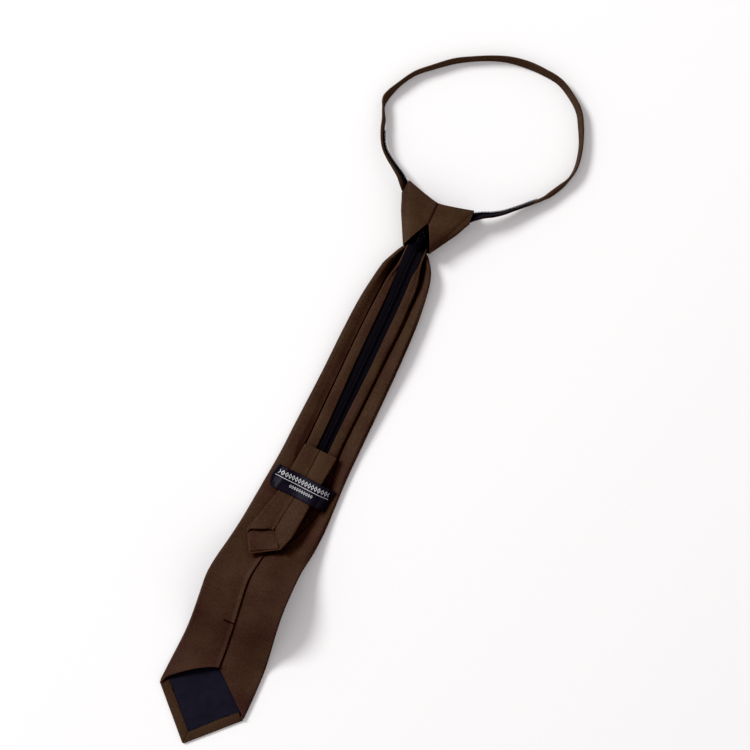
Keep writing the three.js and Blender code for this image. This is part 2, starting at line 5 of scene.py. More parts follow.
import bpy
import numpy as np
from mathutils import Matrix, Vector


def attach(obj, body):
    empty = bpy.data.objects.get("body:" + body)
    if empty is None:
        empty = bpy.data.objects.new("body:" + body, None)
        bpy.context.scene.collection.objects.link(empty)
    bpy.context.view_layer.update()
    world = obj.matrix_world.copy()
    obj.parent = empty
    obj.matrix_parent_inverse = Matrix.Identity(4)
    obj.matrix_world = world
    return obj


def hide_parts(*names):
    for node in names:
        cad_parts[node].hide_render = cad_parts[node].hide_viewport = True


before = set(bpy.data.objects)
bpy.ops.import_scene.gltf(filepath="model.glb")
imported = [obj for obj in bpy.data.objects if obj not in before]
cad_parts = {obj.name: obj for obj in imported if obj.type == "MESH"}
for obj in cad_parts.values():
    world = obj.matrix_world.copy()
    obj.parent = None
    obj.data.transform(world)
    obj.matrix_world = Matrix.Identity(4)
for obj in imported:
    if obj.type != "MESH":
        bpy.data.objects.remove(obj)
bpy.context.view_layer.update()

# Lengths below are millimetres, as on a tailor's chart, and become metres in mesh_object
MM = 0.001

# Cloth
CLOTH = 1.2
TAIL_CLOTH = 1.0
LAYER_GAP = 1.6
CLEAR = 0.3
FOLD_STEPS = 10

# Blade
BLADE_REACH = 442.4
BLADE_HALF = 39.0
BLADE_TOP = 11.0
TIP_LENGTH = 39.7
TIP_SHARE = 0.03
FLAP_RISE = 31.2
FLAP_BOW = 0.128
FLAP_LAP = 1.4
ARCH_HEIGHT = 24.0
HEM_WIDTH = 7.5
HEM_WALL = 1.1
HEM_ROLL = 0.6
HEM_HEIGHT = 1.8
HEM_LENGTH = 54.0
TIPPING_WALL = 0.6
TIPPING_HEIGHT = 1.95
TIPPING_COLUMNS = 60

# Knot
KNOT_HEIGHT = 42.0
KNOT_FOOT = -21.3
KNOT_TOP_WIDTH = 66.8
KNOT_FOOT_WIDTH = 23.8
KNOT_DEPTH = 21.5
KNOT_DIP = 8.0
KNOT_SHIFT = 0.4
CORNER_LIFT = 4.5
CORNER_SLIT = 12.0
VEE_HEIGHT = 23.0
VEE_WIDTH = 23.4
KNOT_SQUARENESS = 3.0
KNOT_SETTLE = 0.7
KNOT_COLUMNS = 181

# Placket and tapes
TAPE_WIDTH = 7.6
TAPE_WALL = 1.0
TAPE_CLOTH = 0.7
TAPE_COLUMNS = 14
ON_PLACKET_STEPS = 150
BRIDGE_STEPS = 30
ON_BAND_STEPS = 70
TAPER_STEPS = 13
RIGHT_WIDENING = 1.1
LEFT_WIDENING = -2.8
RIGHT_TAPE_SHARE = 0.222
LEFT_TAPE_SHARE = 0.795
ZIP_SHOW = 6.6
ZIP_NARROW = 1.25
PLACKET_REACH = 211.0
PLACKET_TOP = 17.0
PLACKET_HALF = 15.0
PLACKET_RISE = 12.0

# Teeth
COIL_WIDTH = 1.9
TOOTH_PITCH = 1.25
TOOTH_RADIUS = 0.42
TOOTH_TUCK = 0.45
TEETH_STOP = 6.0
BAND_SETTLE = 230.0
BAND_TEETH_SHIFT = 0.5
BEAD_OUT = 1.15
BEAD_UP = 0.38
BEAD_HALF = 0.42
BEAD_RADIUS = 0.17

# Slider and pull
SLIDER_LENGTH = 10.0
SLIDER_WIDTH = 8.2
SLIDER_WAIST = 0.72
SLIDER_TOP = -4.5
SLIDER_PLATE = 1.0
POST_HALF = 0.4
BOW_WIDTH = 1.8
BOW_THICK = 0.75
BOW_PATH = (
    (3.4, -0.4), (3.5, 0.6), (3.1, 1.35), (2.0, 1.75), (0.5, 1.85),
    (-1.0, 1.7), (-2.1, 1.2), (-2.5, 0.5), (-2.4, -0.4),
)
PULL_LENGTH = 18.0
PULL_WIDTH = 5.0
PULL_BAR = 1.2
PULL_THICK = 0.9
PULL_BEVEL = 0.22
RIDGES = 6
RIDGE_PITCH = 1.15

# Tail and label
TAIL_START = 209.0
TAIL_LENGTH = 88.7
TAIL_HALF = 16.5
TAIL_GAP = 1.0
TAIL_TIP = 15.0
TAIL_FLAP = 12.0
TAIL_RISE = 10.0
TAIL_SKEW = 3.5
TAIL_TILT = 5.5
TAIL_FACING = ((-28.1, -292.0), (-18.1, -310.0), (3.4, -297.4), (-8.5, -281.0))
FACING_WALL = 0.8
LABEL_WIDTH = 51.5
LABEL_HEIGHT = 19.5
LABEL_WALL = 0.7
LABEL_PLACE = -244.5
LABEL_SHIFT = -0.8
LABEL_BULGE = 2.6
LABEL_CURL = 1.8

# Neck loop
LOOP_SPAN = 175.0
LOOP_REACH = 137.0
LOOP_START = 24.0
BAND_WIDTH = 9.5
BAND_WALL = 2.0
BAND_RISE = 9.2
BAND_SLIM = 0.6
BAND_SIDES = 36
BAND_RINGS = 420

# Stitches
TACK_START = (-13.4, -371.0)
TACK_WIDTH = 9.2
TACK_STITCHES = 24
TACK_RADIUS = 0.26
LABEL_STITCH = 0.15
HEM_STITCH = 0.13

# The photograph's view and light, in metres and degrees
CAMERA_HEIGHT = 1.75
VIEW_WIDTH = 0.635
VIEW_CENTRE = (0.0139, -0.132)
VIEW_ROLL = 25.2
SENSOR_WIDTH = 36.0
FLOOR_REACH = 30000.0
KEY_DISTANCE = 6.0
KEY_HEADING = (-0.97, 0.24)
KEY_ELEVATION = 39
KEY_SIZE = 1.97
KEY_WATTS = 311
KEY_COLOUR = (1.0, 0.995, 0.985)
LIT_PLACE = (0.0, -0.15, 0.0)
SKY_COLOUR = (1.0, 0.955, 0.965, 1)
SKY_STRENGTH = 0.62
TOE = 0.024
TOE_PLACES = (0.004, 0.008, 0.012, 0.017, 0.023, 0.03, 0.04, 0.055, 0.08, 0.13, 0.25, 0.6)

# Colours; a pair is the dark and the light tone of a surface
REDDISH = ((0.0180, 0.0086, 0.0070), (0.0660, 0.0375, 0.0300))
OLIVE = ((0.0200, 0.0110, 0.0074), (0.0720, 0.0470, 0.0315))
TAPE_BLACK = ((0.0062, 0.0057, 0.0080), (0.0180, 0.0168, 0.0205))
NYLON_BLACK = ((0.0090, 0.0082, 0.0105), (0.0220, 0.0200, 0.0240))
LACQUER_BLACK = ((0.0036, 0.0034, 0.0048), (0.016, 0.016, 0.019))
NAVY_TONES = ((0.0105, 0.0100, 0.0150), (0.0215, 0.0206, 0.0285))
LABEL_BLACK = ((0.0085, 0.0072, 0.0112), (0.0150, 0.0132, 0.0190))
LABEL_WHITE = (0.60, 0.60, 0.61)
# Dark brown sewing thread; at the bar tack this darkness also stands in as painted shade of the tucked
# seam
BROWN_SEWING_AND_PAINTED_TUCK_SHADE = ((0.0060, 0.0030, 0.0026), (0.0200, 0.0100, 0.0080))
BLACK_SEWING = ((0.002, 0.002, 0.003), (0.010, 0.010, 0.013))
PAPER_WHITE = ((0.86, 0.86, 0.865), (0.9, 0.9, 0.905))
SHEEN_TINT = (0.55, 0.36, 0.22)
LABEL_GLOSS_TINT = (0.85, 0.88, 1.0)


def table(names, *lines):
    """Rows with named columns."""
    return {name: np.array([line[i] for line in lines]) for i, name in enumerate(names)}


# Shares of BLADE_REACH, of BLADE_HALF and of ARCH_HEIGHT; bend is in degrees
BLADE_ROWS = table(
    ("at", "left", "right", "lift", "bend", "flap_left", "flap_right"),
    (0.054, 0.315, 0.352, 0.090, 55, 0.210, 0.210),
    (0.063, 0.372, 0.432, 0.085, 53, 0.235, 0.260),
    (0.078, 0.450, 0.540, 0.095, 46, 0.285, 0.330),
    (0.099, 0.545, 0.620, 0.120, 36, 0.332, 0.392),
    (0.135, 0.610, 0.685, 0.165, 18, 0.342, 0.440),
    (0.180, 0.667, 0.735, 0.200, 10, 0.360, 0.478),
    (0.247, 0.700, 0.765, 0.200, 7, 0.370, 0.462),
    (0.337, 0.720, 0.774, 0.120, 5, 0.376, 0.440),
    (0.450, 0.772, 0.772, 0.000, 4, 0.376, 0.410),
    (0.490, 0.785, 0.772, 0.000, 4, 0.380, 0.450),
    (0.525, 0.808, 0.783, 0.000, 4, 0.270, 0.520),
    (0.562, 0.844, 0.805, 0.000, 4, 0.145, 0.560),
    (0.610, 0.890, 0.828, 0.030, 4, 0.125, 0.460),
    (0.652, 0.933, 0.810, 0.180, 4, 0.155, 0.280),
    (0.676, 0.966, 0.777, 0.330, 4, 0.175, 0.060),
    (0.697, 1.000, 0.744, 0.500, 4, 0.195, -0.187),
    (0.742, 1.082, 0.738, 0.880, 4, 0.262, -0.256),
    (0.772, 1.105, 0.750, 1.000, 4, 0.235, -0.228),
    (0.799, 1.077, 0.777, 0.970, 4, 0.193, -0.185),
    (0.832, 1.041, 0.826, 0.720, 3, 0.142, -0.134),
    (0.870, 1.014, 0.890, 0.250, 2, 0.095, -0.087),
    (0.903, 1.008, 0.932, 0.000, 1, 0.058, -0.050),
    (0.956, 1.028, 0.956, 0.000, 0, 0.040, -0.032),
    (1.000, 1.046, 0.959, 0.000, 0, 0.036, -0.028),
)

# Shares of the placket's length, of PLACKET_HALF and, over the blade, of PLACKET_RISE
PLACKET_ROWS = table(
    ("at", "left", "right", "middle", "rise"),
    (0.000, 0.573, 0.600, 0.00, 0.845),
    (0.080, 0.573, 0.690, 0.00, 0.880),
    (0.120, 0.605, 0.815, 0.00, 0.830),
    (0.155, 0.710, 0.945, 0.02, 0.700),
    (0.190, 0.790, 1.010, 0.04, 0.52),
    (0.235, 0.845, 1.045, 0.06, 0.38),
    (0.282, 0.873, 1.060, 0.07, 0.28),
    (0.376, 0.920, 1.093, 0.07, 0.200),
    (0.516, 0.940, 1.060, 0.07, 0.165),
    (0.704, 0.940, 1.033, 0.07, 0.155),
    (0.892, 0.940, 0.985, 0.06, 0.150),
    (1.000, 0.935, 0.975, 0.05, 0.150),
)

# Shares of TAIL_LENGTH, of TAIL_HALF and, over the blade, of TAIL_RISE
TAIL_ROWS = table(
    ("at", "left", "right", "seam", "lift"),
    (0.00, 0.905, 0.915, -0.115, 0.585),
    (0.27, 1.020, 0.785, -0.170, 0.505),
    (0.53, 1.152, 0.700, -0.273, 0.510),
    (0.69, 1.352, 0.636, -0.394, 0.640),
    (0.86, 1.576, 0.545, -0.470, 0.830),
    (1.00, 1.735, 0.315, -0.500, 0.920),
    (1.17, 1.760, 0.300, -0.500, 0.850),
)

# Shares of KNOT_HEIGHT and of KNOT_DEPTH
KNOT_ROWS = table(
    ("at", "depth", "lift"),
    (0.00, 0.90, 0.030),
    (0.25, 1.00, 0.000),
    (0.50, 1.00, 0.000),
    (0.75, 0.98, 0.010),
    (1.00, 0.96, 0.030),
)

# The lower edge of the neck band: shares of LOOP_SPAN and LOOP_REACH, the lean in
# degrees and the rise as a share of BAND_RISE
LOOP_LINES = (
    (0.135, -0.018, 27, 0.86),
    (0.172, 0.014, 41, 1.02),
    (0.218, 0.045, 57, 0.94),
    (0.261, 0.072, 64, 0.70),
    (0.305, 0.109, 71, 0.50),
    (0.345, 0.154, 76, 0.32),
    (0.379, 0.197, 76, 0.18),
    (0.410, 0.238, 78, 0.08),
    (0.4445, 0.281, 84, 0.02),
    (0.4765, 0.323, 98, 0),
    (0.509, 0.399, 99, 0),
    (0.5235, 0.455, 92, 0),
    (0.528, 0.528, 82, 0),
    (0.518, 0.610, 78, 0),
    (0.497, 0.692, 76, 0),
    (0.464, 0.772, 70, 0),
    (0.425, 0.852, 69, 0),
    (0.368, 0.912, 69, 0),
    (0.282, 0.967, 66, 0),
    (0.187, 0.980, 65, 0),
    (0.108, 0.976, 63, 0),
    (0.027, 0.961, 68, 0),
    (-0.053, 0.927, 73, 0),
    (-0.135, 0.875, 75, 0),
    (-0.214, 0.811, 73, 0),
    (-0.298, 0.722, 78, 0),
    (-0.360, 0.644, 78, 0),
    (-0.405, 0.546, 77, 0),
    (-0.430, 0.439, 63, 0),
    (-0.4314, 0.373, 88, 0.03),
    (-0.401, 0.310, 78, 0.10),
    (-0.3886, 0.257, 79, 0.20),
    (-0.366, 0.191, 80, 0.34),
    (-0.338, 0.144, 78, 0.48),
    (-0.299, 0.108, 73, 0.64),
    (-0.255, 0.076, 68, 0.82),
    (-0.211, 0.048, 57, 0.94),
    (-0.174, 0.019, 41, 1.02),
    (-0.135, -0.014, 26, 0.86),
)
LOOP_ROWS = table(
    ("at", "across", "along", "lean", "rise"),
    *[(i, *line) for i, line in enumerate(LOOP_LINES)],
)
LOOP_LAST = len(LOOP_LINES) - 1


def read(rows, name, at):
    """A column of a table at a place along it, on a smooth curve through its rows."""
    places, values = rows["at"], rows[name]
    last = len(places) - 1
    k = int(np.clip(np.searchsorted(places, at) - 1, 0, last - 1))

    def slope(i):
        low, high = max(i - 1, 0), min(i + 1, last)
        return (values[high] - values[low]) / (places[high] - places[low])

    gap = places[k + 1] - places[k]
    t = min(max((at - places[k]) / gap, 0.0), 1.0)
    ease = t * t * (3 - 2 * t)
    turns = slope(k) * gap * t * (1 - t) ** 2, slope(k + 1) * gap * t * t * (1 - t)
    return float(values[k] + (values[k + 1] - values[k]) * ease + turns[0] - turns[1])


def smooth(low, high, x):
    """0 below low, 1 above high and a soft step between."""
    t = np.clip((np.asarray(x, float) - low) / (np.asarray(high, float) - low), 0, 1)
    return t * t * (3 - 2 * t)


def step(low, high, x):
    return float(smooth(low, high, x))


def stations(first, *parts):
    """Places from the first on, evenly spaced over each part up to its end."""
    places = [first]
    for end, count in parts:
        places.extend(np.linspace(places[-1], end, count)[1:])
    return places


def travel(points):
    """The distance along a line of points, from 0 at the first."""
    return np.concatenate([[0], np.cumsum(np.linalg.norm(np.diff(points, axis=0), axis=1))])


def sides(rows, size, at):
    """How far a row reaches to the left and to the right."""
    return read(rows, "left", at) * size, read(rows, "right", at) * size


def span(rows, size, at):
    """The middle of a row and half its width."""
    left, right = sides(rows, size, at)
    return (right - left) / 2, (left + right) / 2


def squarish(count, half_width, half_thick, power=0.6):
    """Points of a squarish ring, from its right side up and round."""
    ring = []
    for k in range(count):
        a = 2 * math.pi * k / count
        over, up = math.cos(a), math.sin(a)
        x = math.copysign(abs(over) ** power, over) * half_width
        ring.append((x, math.copysign(abs(up) ** 0.6, up) * half_thick))
    return ring


# Meshes


def unit(v):
    return v / np.maximum(np.linalg.norm(v, axis=-1, keepdims=True), 1e-12)


def add_object(name, data):
    obj = bpy.data.objects.new(name, data)
    bpy.context.collection.objects.link(obj)
    return obj


def mesh_object(name, points, faces, uvs, material, sharp=None):
    """An object from points in millimetres, faces and one UV for each point."""
    mesh = bpy.data.meshes.new(name)
    mesh.from_pydata((np.asarray(points) * MM).tolist(), [], faces)
    layer = mesh.uv_layers.new(name="cloth")
    corners = np.empty(len(mesh.loops), int)
    mesh.loops.foreach_get("vertex_index", corners)
    layer.data.foreach_set("uv", np.asarray(uvs, float)[corners].ravel())
    mesh.shade_smooth()
    if sharp is not None:
        mesh.set_sharp_from_angle(angle=math.radians(sharp))
    mesh.validate()
    mesh.materials.append(material)
    return add_object(name, mesh)


def grid_normals(grid):
    return unit(np.cross(np.gradient(grid, axis=0), np.gradient(grid, axis=1)))


def rim_profile(grid, wall):
    """Half the cloth's thickness at each point, rounded off toward its edges."""
    near = []
    for axis in (0, 1):
        steps = np.linalg.norm(np.diff(grid, axis=axis), axis=2)
        reach = np.pad(np.cumsum(steps, axis=axis), [(1 - axis, 0), (axis, 0)])
        near += [reach, np.take(reach, [-1], axis=axis) - reach]
    t = np.clip(np.minimum.reduce(near) / (wall / 2), 0, 1)
    return wall / 2 * np.sqrt(np.clip(1 - (1 - t) ** 2, 0.02, 1))


def sheet_faces(rows, width):
    """Faces of a closed slab: its upper and lower grids and its four edges."""
    faces = []
    under = rows * width
    for a in range(0, under - width, width):
        for b in range(a, a + width - 1):
            faces.append((b, b + width, b + width + 1, b + 1))
            faces.append((under + b, under + b + 1, under + b + width + 1, under + b + width))
        end = a + width - 1
        faces.append((a, under + a, under + a + width, a + width))
        faces.append((end + width, under + end + width, under + end, end))
    for a in range(width - 1):
        far = under - width + a
        faces.append((a + 1, under + a + 1, under + a, a))
        faces.append((far, under + far, under + far + 1, far + 1))
    return faces


def sheet_object(name, grid, wall, uv, material):
    """Cloth of one thickness round a grid of points at its middle."""
    offset = grid_normals(grid) * rim_profile(grid, wall)[..., None]
    points = np.vstack([(grid + offset).reshape(-1, 3), (grid - offset).reshape(-1, 3)])
    uvs = np.tile(uv.reshape(-1, 2), (2, 1))
    return mesh_object(name, points, sheet_faces(*grid.shape[:2]), uvs, material)


def tube_object(name, rings, uv, material):
    """A closed body through rings of the same number of points, capped at its ends."""
    rings = np.array(rings)
    count, width, _ = rings.shape
    faces = []
    for a in range(0, (count - 1) * width, width):
        for j in range(width):
            k = (j + 1) % width
            faces.append((a + j, a + width + j, a + width + k, a + k))
    faces.append(tuple(range(width)))
    faces.append(tuple(range(count * width - 1, (count - 1) * width - 1, -1)))
    return mesh_object(name, rings.reshape(-1, 3), faces, np.reshape(uv, (-1, 2)), material)


def join(name, objects):
    """One object from several, which are given up."""
    with bpy.context.temp_override(active_object=objects[0], selected_editable_objects=objects):
        bpy.ops.object.join()
    objects[0].name = name
    return objects[0]


def capsules(name, pairs, radius, material, sides=6, rings=2):
    """Short round-ended threads or teeth, each from a start to an end."""
    turns = np.linspace(0, math.pi / 2, rings + 1)[1:]
    points, faces = [], []
    for start, end in np.array(pairs, float):
        axis = unit(end - start)
        side = unit(np.cross(axis, (0.0, 0.3, 1.0) if abs(axis[2]) < 0.9 else (1.0, 0.0, 0.0)))
        other = np.cross(axis, side)
        base = len(points)
        points.append(start - axis * radius)
        for centre, bends, way in ((start, turns, -1), (end, turns[::-1], 1)):
            for bend in bends:
                ring = radius * math.sin(bend)
                place = centre + way * axis * radius * math.cos(bend)
                for k in range(sides):
                    around = 2 * math.pi * k / sides
                    points.append(place + ring * (math.cos(around) * side + math.sin(around) * other))
        points.append(end + axis * radius)
        last = base + 1 + (2 * rings - 1) * sides
        for k in range(sides):
            n = (k + 1) % sides
            faces.append((base, base + 1 + n, base + 1 + k))
            for a in range(base + 1, last, sides):
                faces.append((a + k, a + n, a + sides + n, a + sides + k))
            faces.append((last + k, last + n, last + sides))
    return mesh_object(name, points, faces, [p[:2] for p in points], material)


# Materials


class Nodes:
    """A material's nodes, with short calls that add a node and give its outputs."""

    def __init__(self, name):
        self.material = bpy.data.materials.new(name)
        self.material.use_nodes = True
        self.tree = self.material.node_tree
        self.shader = self.tree.nodes["Principled BSDF"]

    def put(self, socket, value):
        """Links a socket to an output, or sets it to a number or a colour."""
        if isinstance(value, bpy.types.NodeSocket):
            self.tree.links.new(value, socket)
        elif isinstance(value, tuple):
            socket.default_value = (*value, 1.0)
        elif value is not None:
            socket.default_value = value

    def add(self, kind, inputs=(), **settings):
        """The outputs of a new node, with its inputs given by number or by name."""
        node = self.tree.nodes.new(kind)
        for key, value in settings.items():
            setattr(node, key, value)
        for key, value in dict(inputs).items():
            self.put(node.inputs[key], value)
        return node.outputs

    def math(self, operation, a, b=None, clamp=False):
        return self.add("ShaderNodeMath", {0: a, 1: b}, operation=operation, use_clamp=clamp)[0]

    plus = partialmethod(math, "ADD")
    minus = partialmethod(math, "SUBTRACT")
    times = partialmethod(math, "MULTIPLY")

    def total(self, *parts):
        """The sum of values, each with its share."""
        values = [value if share == 1 else self.times(value, share) for value, share in parts]
        return reduce(self.plus, values)

    def within(self, value, reach):
        """1 where a value is nearer to 0 than reach."""
        return self.math("LESS_THAN", self.math("ABSOLUTE", value), reach)

    def ridge(self, value, period):
        """A rounded ridge over each period of a value, from 0 to 1."""
        sine = self.math("SINE", self.times(value, 2 * math.pi / period))
        return self.times(self.plus(sine, 1.0), 0.5)

    def uv(self):
        """Cloth coordinates in millimetres, together and one by one."""
        vector = self.add("ShaderNodeUVMap", uv_map="cloth")[0]
        split = self.add("ShaderNodeSeparateXYZ", {0: vector})
        return vector, split[0], split[1]

    def noise(self, vector, scale, detail=2.0, rough=0.5):
        inputs = {"Vector": vector, "Scale": scale, "Detail": detail, "Roughness": rough}
        return self.add("ShaderNodeTexNoise", inputs)[0]

    def mix(self, share, low, high):
        return self.add("ShaderNodeMix", {0: share, 6: low, 7: high}, data_type="RGBA")[2]

    def bump(self, height, distance, strength):
        inputs = {"Height": height, "Distance": distance, "Strength": strength}
        self.put(self.shader.inputs["Normal"], self.add("ShaderNodeBump", inputs)[0])

    def finish(self, colour, roughness, specular, **others):
        """The material, with its colour and the shader's own sockets set."""
        self.put(self.shader.inputs["Base Color"], colour)
        self.put(self.shader.inputs["Specular IOR Level"], specular)
        for name, value in {"roughness": roughness, **others}.items():
            self.put(self.shader.inputs[name.replace("_", " ").title()], value)
        return self.material


def brown_cloth():
    """Matte brown twill: slanted ridges, fine cross threads and an uneven tone that
    runs from olive to red brown."""
    n = Nodes("brown_twill")
    vector, u, v = n.uv()
    slanted = n.ridge(n.total((u, 1), (v, 0.8)), 0.62)
    threads = n.ridge(v, 0.36)
    fine = n.noise(vector, 1.1, 3.0, 0.7)
    broad = n.noise(vector, 0.045, 3.0, 0.55)
    slubs = n.noise(vector, 0.5, 3.0, 0.75)
    hue = n.noise(vector, 0.03)
    fleck = n.noise(vector, 0.4, 3.0, 0.7)
    weave = n.total((slanted, 0.55), (threads, 0.25), (fine, 1.5))
    tone = n.minus(n.total((weave, 0.75), (broad, 0.6), (slubs, 0.7)), 0.97, clamp=True)
    share = n.total((n.minus(hue, 0.5), 2.4), (fleck, 1))
    share = n.plus(share, n.times(n.plus(v, 230.0), 0.0010), clamp=True)
    colour = n.mix(share, n.mix(tone, *REDDISH), n.mix(tone, *OLIVE))
    n.bump(weave, distance=0.00012, strength=0.8)
    return n.finish(
        colour, roughness=0.82, specular=0.06,
        sheen_weight=0.03, sheen_roughness=0.45, sheen_tint=SHEEN_TINT,
    )


def black_tape():
    """Woven zipper tape: fine ribs along it and small picks across."""
    n = Nodes("black_zip_tape")
    vector, u, v = n.uv()
    fine = n.noise(vector, 1.8, 2.0, 0.6)
    weave = n.total((n.ridge(u, 0.55), 0.6), (n.ridge(v, 0.42), 0.4), (fine, 0.3))
    colour = n.mix(n.times(weave, 0.8, clamp=True), *TAPE_BLACK)
    n.bump(weave, distance=0.00014, strength=0.9)
    return n.finish(colour, roughness=0.72, specular=0.04)


def black_coil():
    """Nylon teeth with a soft gloss."""
    n = Nodes("black_nylon")
    fine = n.noise(n.uv()[0], 3.0)
    n.bump(fine, distance=0.00003, strength=0.4)
    return n.finish(n.mix(fine, *NYLON_BLACK), roughness=0.36, specular=0.05)


def black_metal():
    """Lacquered slider, rubbed a little brighter in spots."""
    n = Nodes("black_lacquer")
    spots = n.noise(n.uv()[0], 0.9, 4.0, 0.6)
    rubbed = n.times(n.minus(spots, 0.52, clamp=True), 4.0, clamp=True)
    n.bump(spots, distance=0.00004, strength=0.3)
    return n.finish(n.mix(rubbed, *LACQUER_BLACK), roughness=0.2, specular=0.1)


def navy_satin():
    """Dark satin with fine slanted floats and a soft sheen."""
    n = Nodes("navy_satin")
    vector, u, v = n.uv()
    floats = n.ridge(n.total((u, 1), (v, 0.5)), 0.42)
    fine = n.noise(vector, 0.12, 3.0)
    tone = n.plus(n.times(floats, 0.45), n.times(fine, 0.6), clamp=True)
    n.bump(tone, distance=0.00006, strength=0.5)
    return n.finish(n.mix(tone, *NAVY_TONES), roughness=0.66, specular=0.05, anisotropic=0.2)


def lozenges(n, u, v, pitch, height, line, reach):
    """A row of outlined lozenges along u, centred on v = 0 and as long as reach."""
    cell = n.minus(n.math("PINGPONG", u, pitch / 2), pitch / 4)
    across = n.math("DIVIDE", n.math("ABSOLUTE", v), height / 2)
    along = n.math("DIVIDE", n.math("ABSOLUTE", cell), pitch / 4 * 0.86)
    outline = n.within(n.minus(n.plus(across, along), 0.8), line)
    return n.times(outline, n.within(u, reach))


def label_satin():
    """Black damask label: a row of woven lozenges, a thin line and a finer row."""
    n = Nodes("label_damask")
    vector, u, v = n.uv()
    large = lozenges(n, u, n.minus(v, 4.6), pitch=6.0, height=4.6, line=0.24, reach=22.5)
    small = lozenges(n, u, n.plus(v, 2.8), pitch=4.4, height=3.0, line=0.26, reach=11.0)
    line = n.times(n.within(n.minus(v, 0.9), 0.24), n.within(u, 23.5))
    motif = n.math("MAXIMUM", n.math("MAXIMUM", large, small), line)
    motif = n.times(motif, n.plus(n.times(n.ridge(u, 0.36), 0.5), 0.5))
    floats = n.ridge(v, 0.35)
    folds = n.noise(vector, 0.16, 3.0, 0.6)
    colour = n.mix(motif, n.mix(floats, *LABEL_BLACK), LABEL_WHITE)
    n.bump(n.total((floats, 0.3), (motif, 1), (folds, 4.0)), distance=0.00012, strength=0.6)
    return n.finish(
        colour, roughness=0.38, specular=0.075, specular_tint=LABEL_GLOSS_TINT, anisotropic=0.5,
    )


def thread(name, tones):
    """Matte twisted sewing thread."""
    n = Nodes(name)
    _, u, v = n.uv()
    twist = n.ridge(n.plus(u, v), 0.3)
    n.bump(twist, distance=0.00005, strength=0.6)
    return n.finish(n.mix(twist, *tones), roughness=0.7, specular=0.06)


def floor_paper():
    """Plain white paper."""
    n = Nodes("white_paper")
    grain = n.noise(n.add("ShaderNodeTexCoord")["Object"], 600.0)
    return n.finish(n.mix(grain, *PAPER_WHITE), roughness=0.95, specular=0.1)


BROWN = brown_cloth()
TAPE = black_tape()
COIL = black_coil()
METAL = black_metal()
NAVY = navy_satin()
LABEL = label_satin()
# The brown thread is real sewing thread, and at the bar tack its darkness is also painted shade
BROWN_THREAD_AND_PAINTED_TUCK_SHADE = thread("brown_thread_and_painted_tuck_shade", BROWN_SEWING_AND_PAINTED_TUCK_SHADE)
BLACK_THREAD = thread("black_thread", BLACK_SEWING)


def place(obj, slot, *nodes):
    """A piece rides on the tie and stands for its CAD nodes, which are hidden; its slot is not used."""
    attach(obj, "root")
    if nodes:
        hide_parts(*nodes)
    return obj


def brown_piece(name, grid, wall, uv, *nodes):
    return place(sheet_object(name, grid, wall, uv, BROWN), "brown_cloth", *nodes)


# Folded cloth


def folded_strip(half_arc, wall, gap, left_end, right_end, flap_steps, front_steps):
    """Points across a folded strip: flap, fold, front, fold, flap. Gives the place
    along the cloth from its middle, the height over the front's outer face, 1 on a
    flap, the distance from the flap's free edge, and the cloth's own coordinate."""
    turn = (wall + gap) / 2
    centre = half_arc - wall / 2 - turn
    low, high = wall / 2, wall / 2 + 2 * turn
    left_end, right_end = min(left_end, centre - 0.2), max(right_end, 0.2 - centre)
    fine = 1 - np.cos(np.linspace(0, math.pi / 2, flap_steps + 1))
    left = (left_end + (-centre - left_end) * fine)[:-1]
    right = (right_end + (centre - right_end) * fine)[::-1][1:]
    around = np.radians(np.linspace(90, 270, FOLD_STEPS + 1))
    back = around[::-1]
    middle = np.linspace(-centre, centre, front_steps + 1)[1:-1]
    s = np.concatenate([
        left, -centre + turn * np.cos(around), middle, centre - turn * np.cos(back), right,
    ])
    h = np.concatenate([
        np.full(len(left), high), low + turn + turn * np.sin(around),
        np.full(len(middle), low), low + turn + turn * np.sin(back), np.full(len(right), high),
    ])
    flap = np.zeros(len(s))
    flap[:len(left)] = flap[-len(right):] = 1
    lengths = np.concatenate([[0], np.cumsum(np.hypot(np.diff(s), np.diff(h)))])
    on_left = np.arange(len(s)) <= len(left) + len(around)
    edge = np.where(on_left, lengths, lengths[-1] - lengths)
    return s, h, flap, edge, lengths - lengths[len(s) // 2]


def pointed_shift(share, flap, peak, drop, rise, growth):
    """How far a row is pushed along the strip at its pointed end."""
    reach = np.where(share < peak, (share + 1) / (1 + peak), (1 - share) / (1 - peak))
    return growth * np.clip(reach, 0, 1) * np.where(flap > 0, rise, -drop)


def blade_lift(y):
    return max(0.0, read(BLADE_ROWS, "lift", -y / BLADE_REACH)) * ARCH_HEIGHT


def blade_form(at):
    """The blade's middle, half its width, half the angle of its arch and its radius."""
    middle, half = span(BLADE_ROWS, BLADE_HALF, at)
    bend = math.radians(max(read(BLADE_ROWS, "bend", at), 0.05))
    return middle, half, bend, half / math.sin(bend)


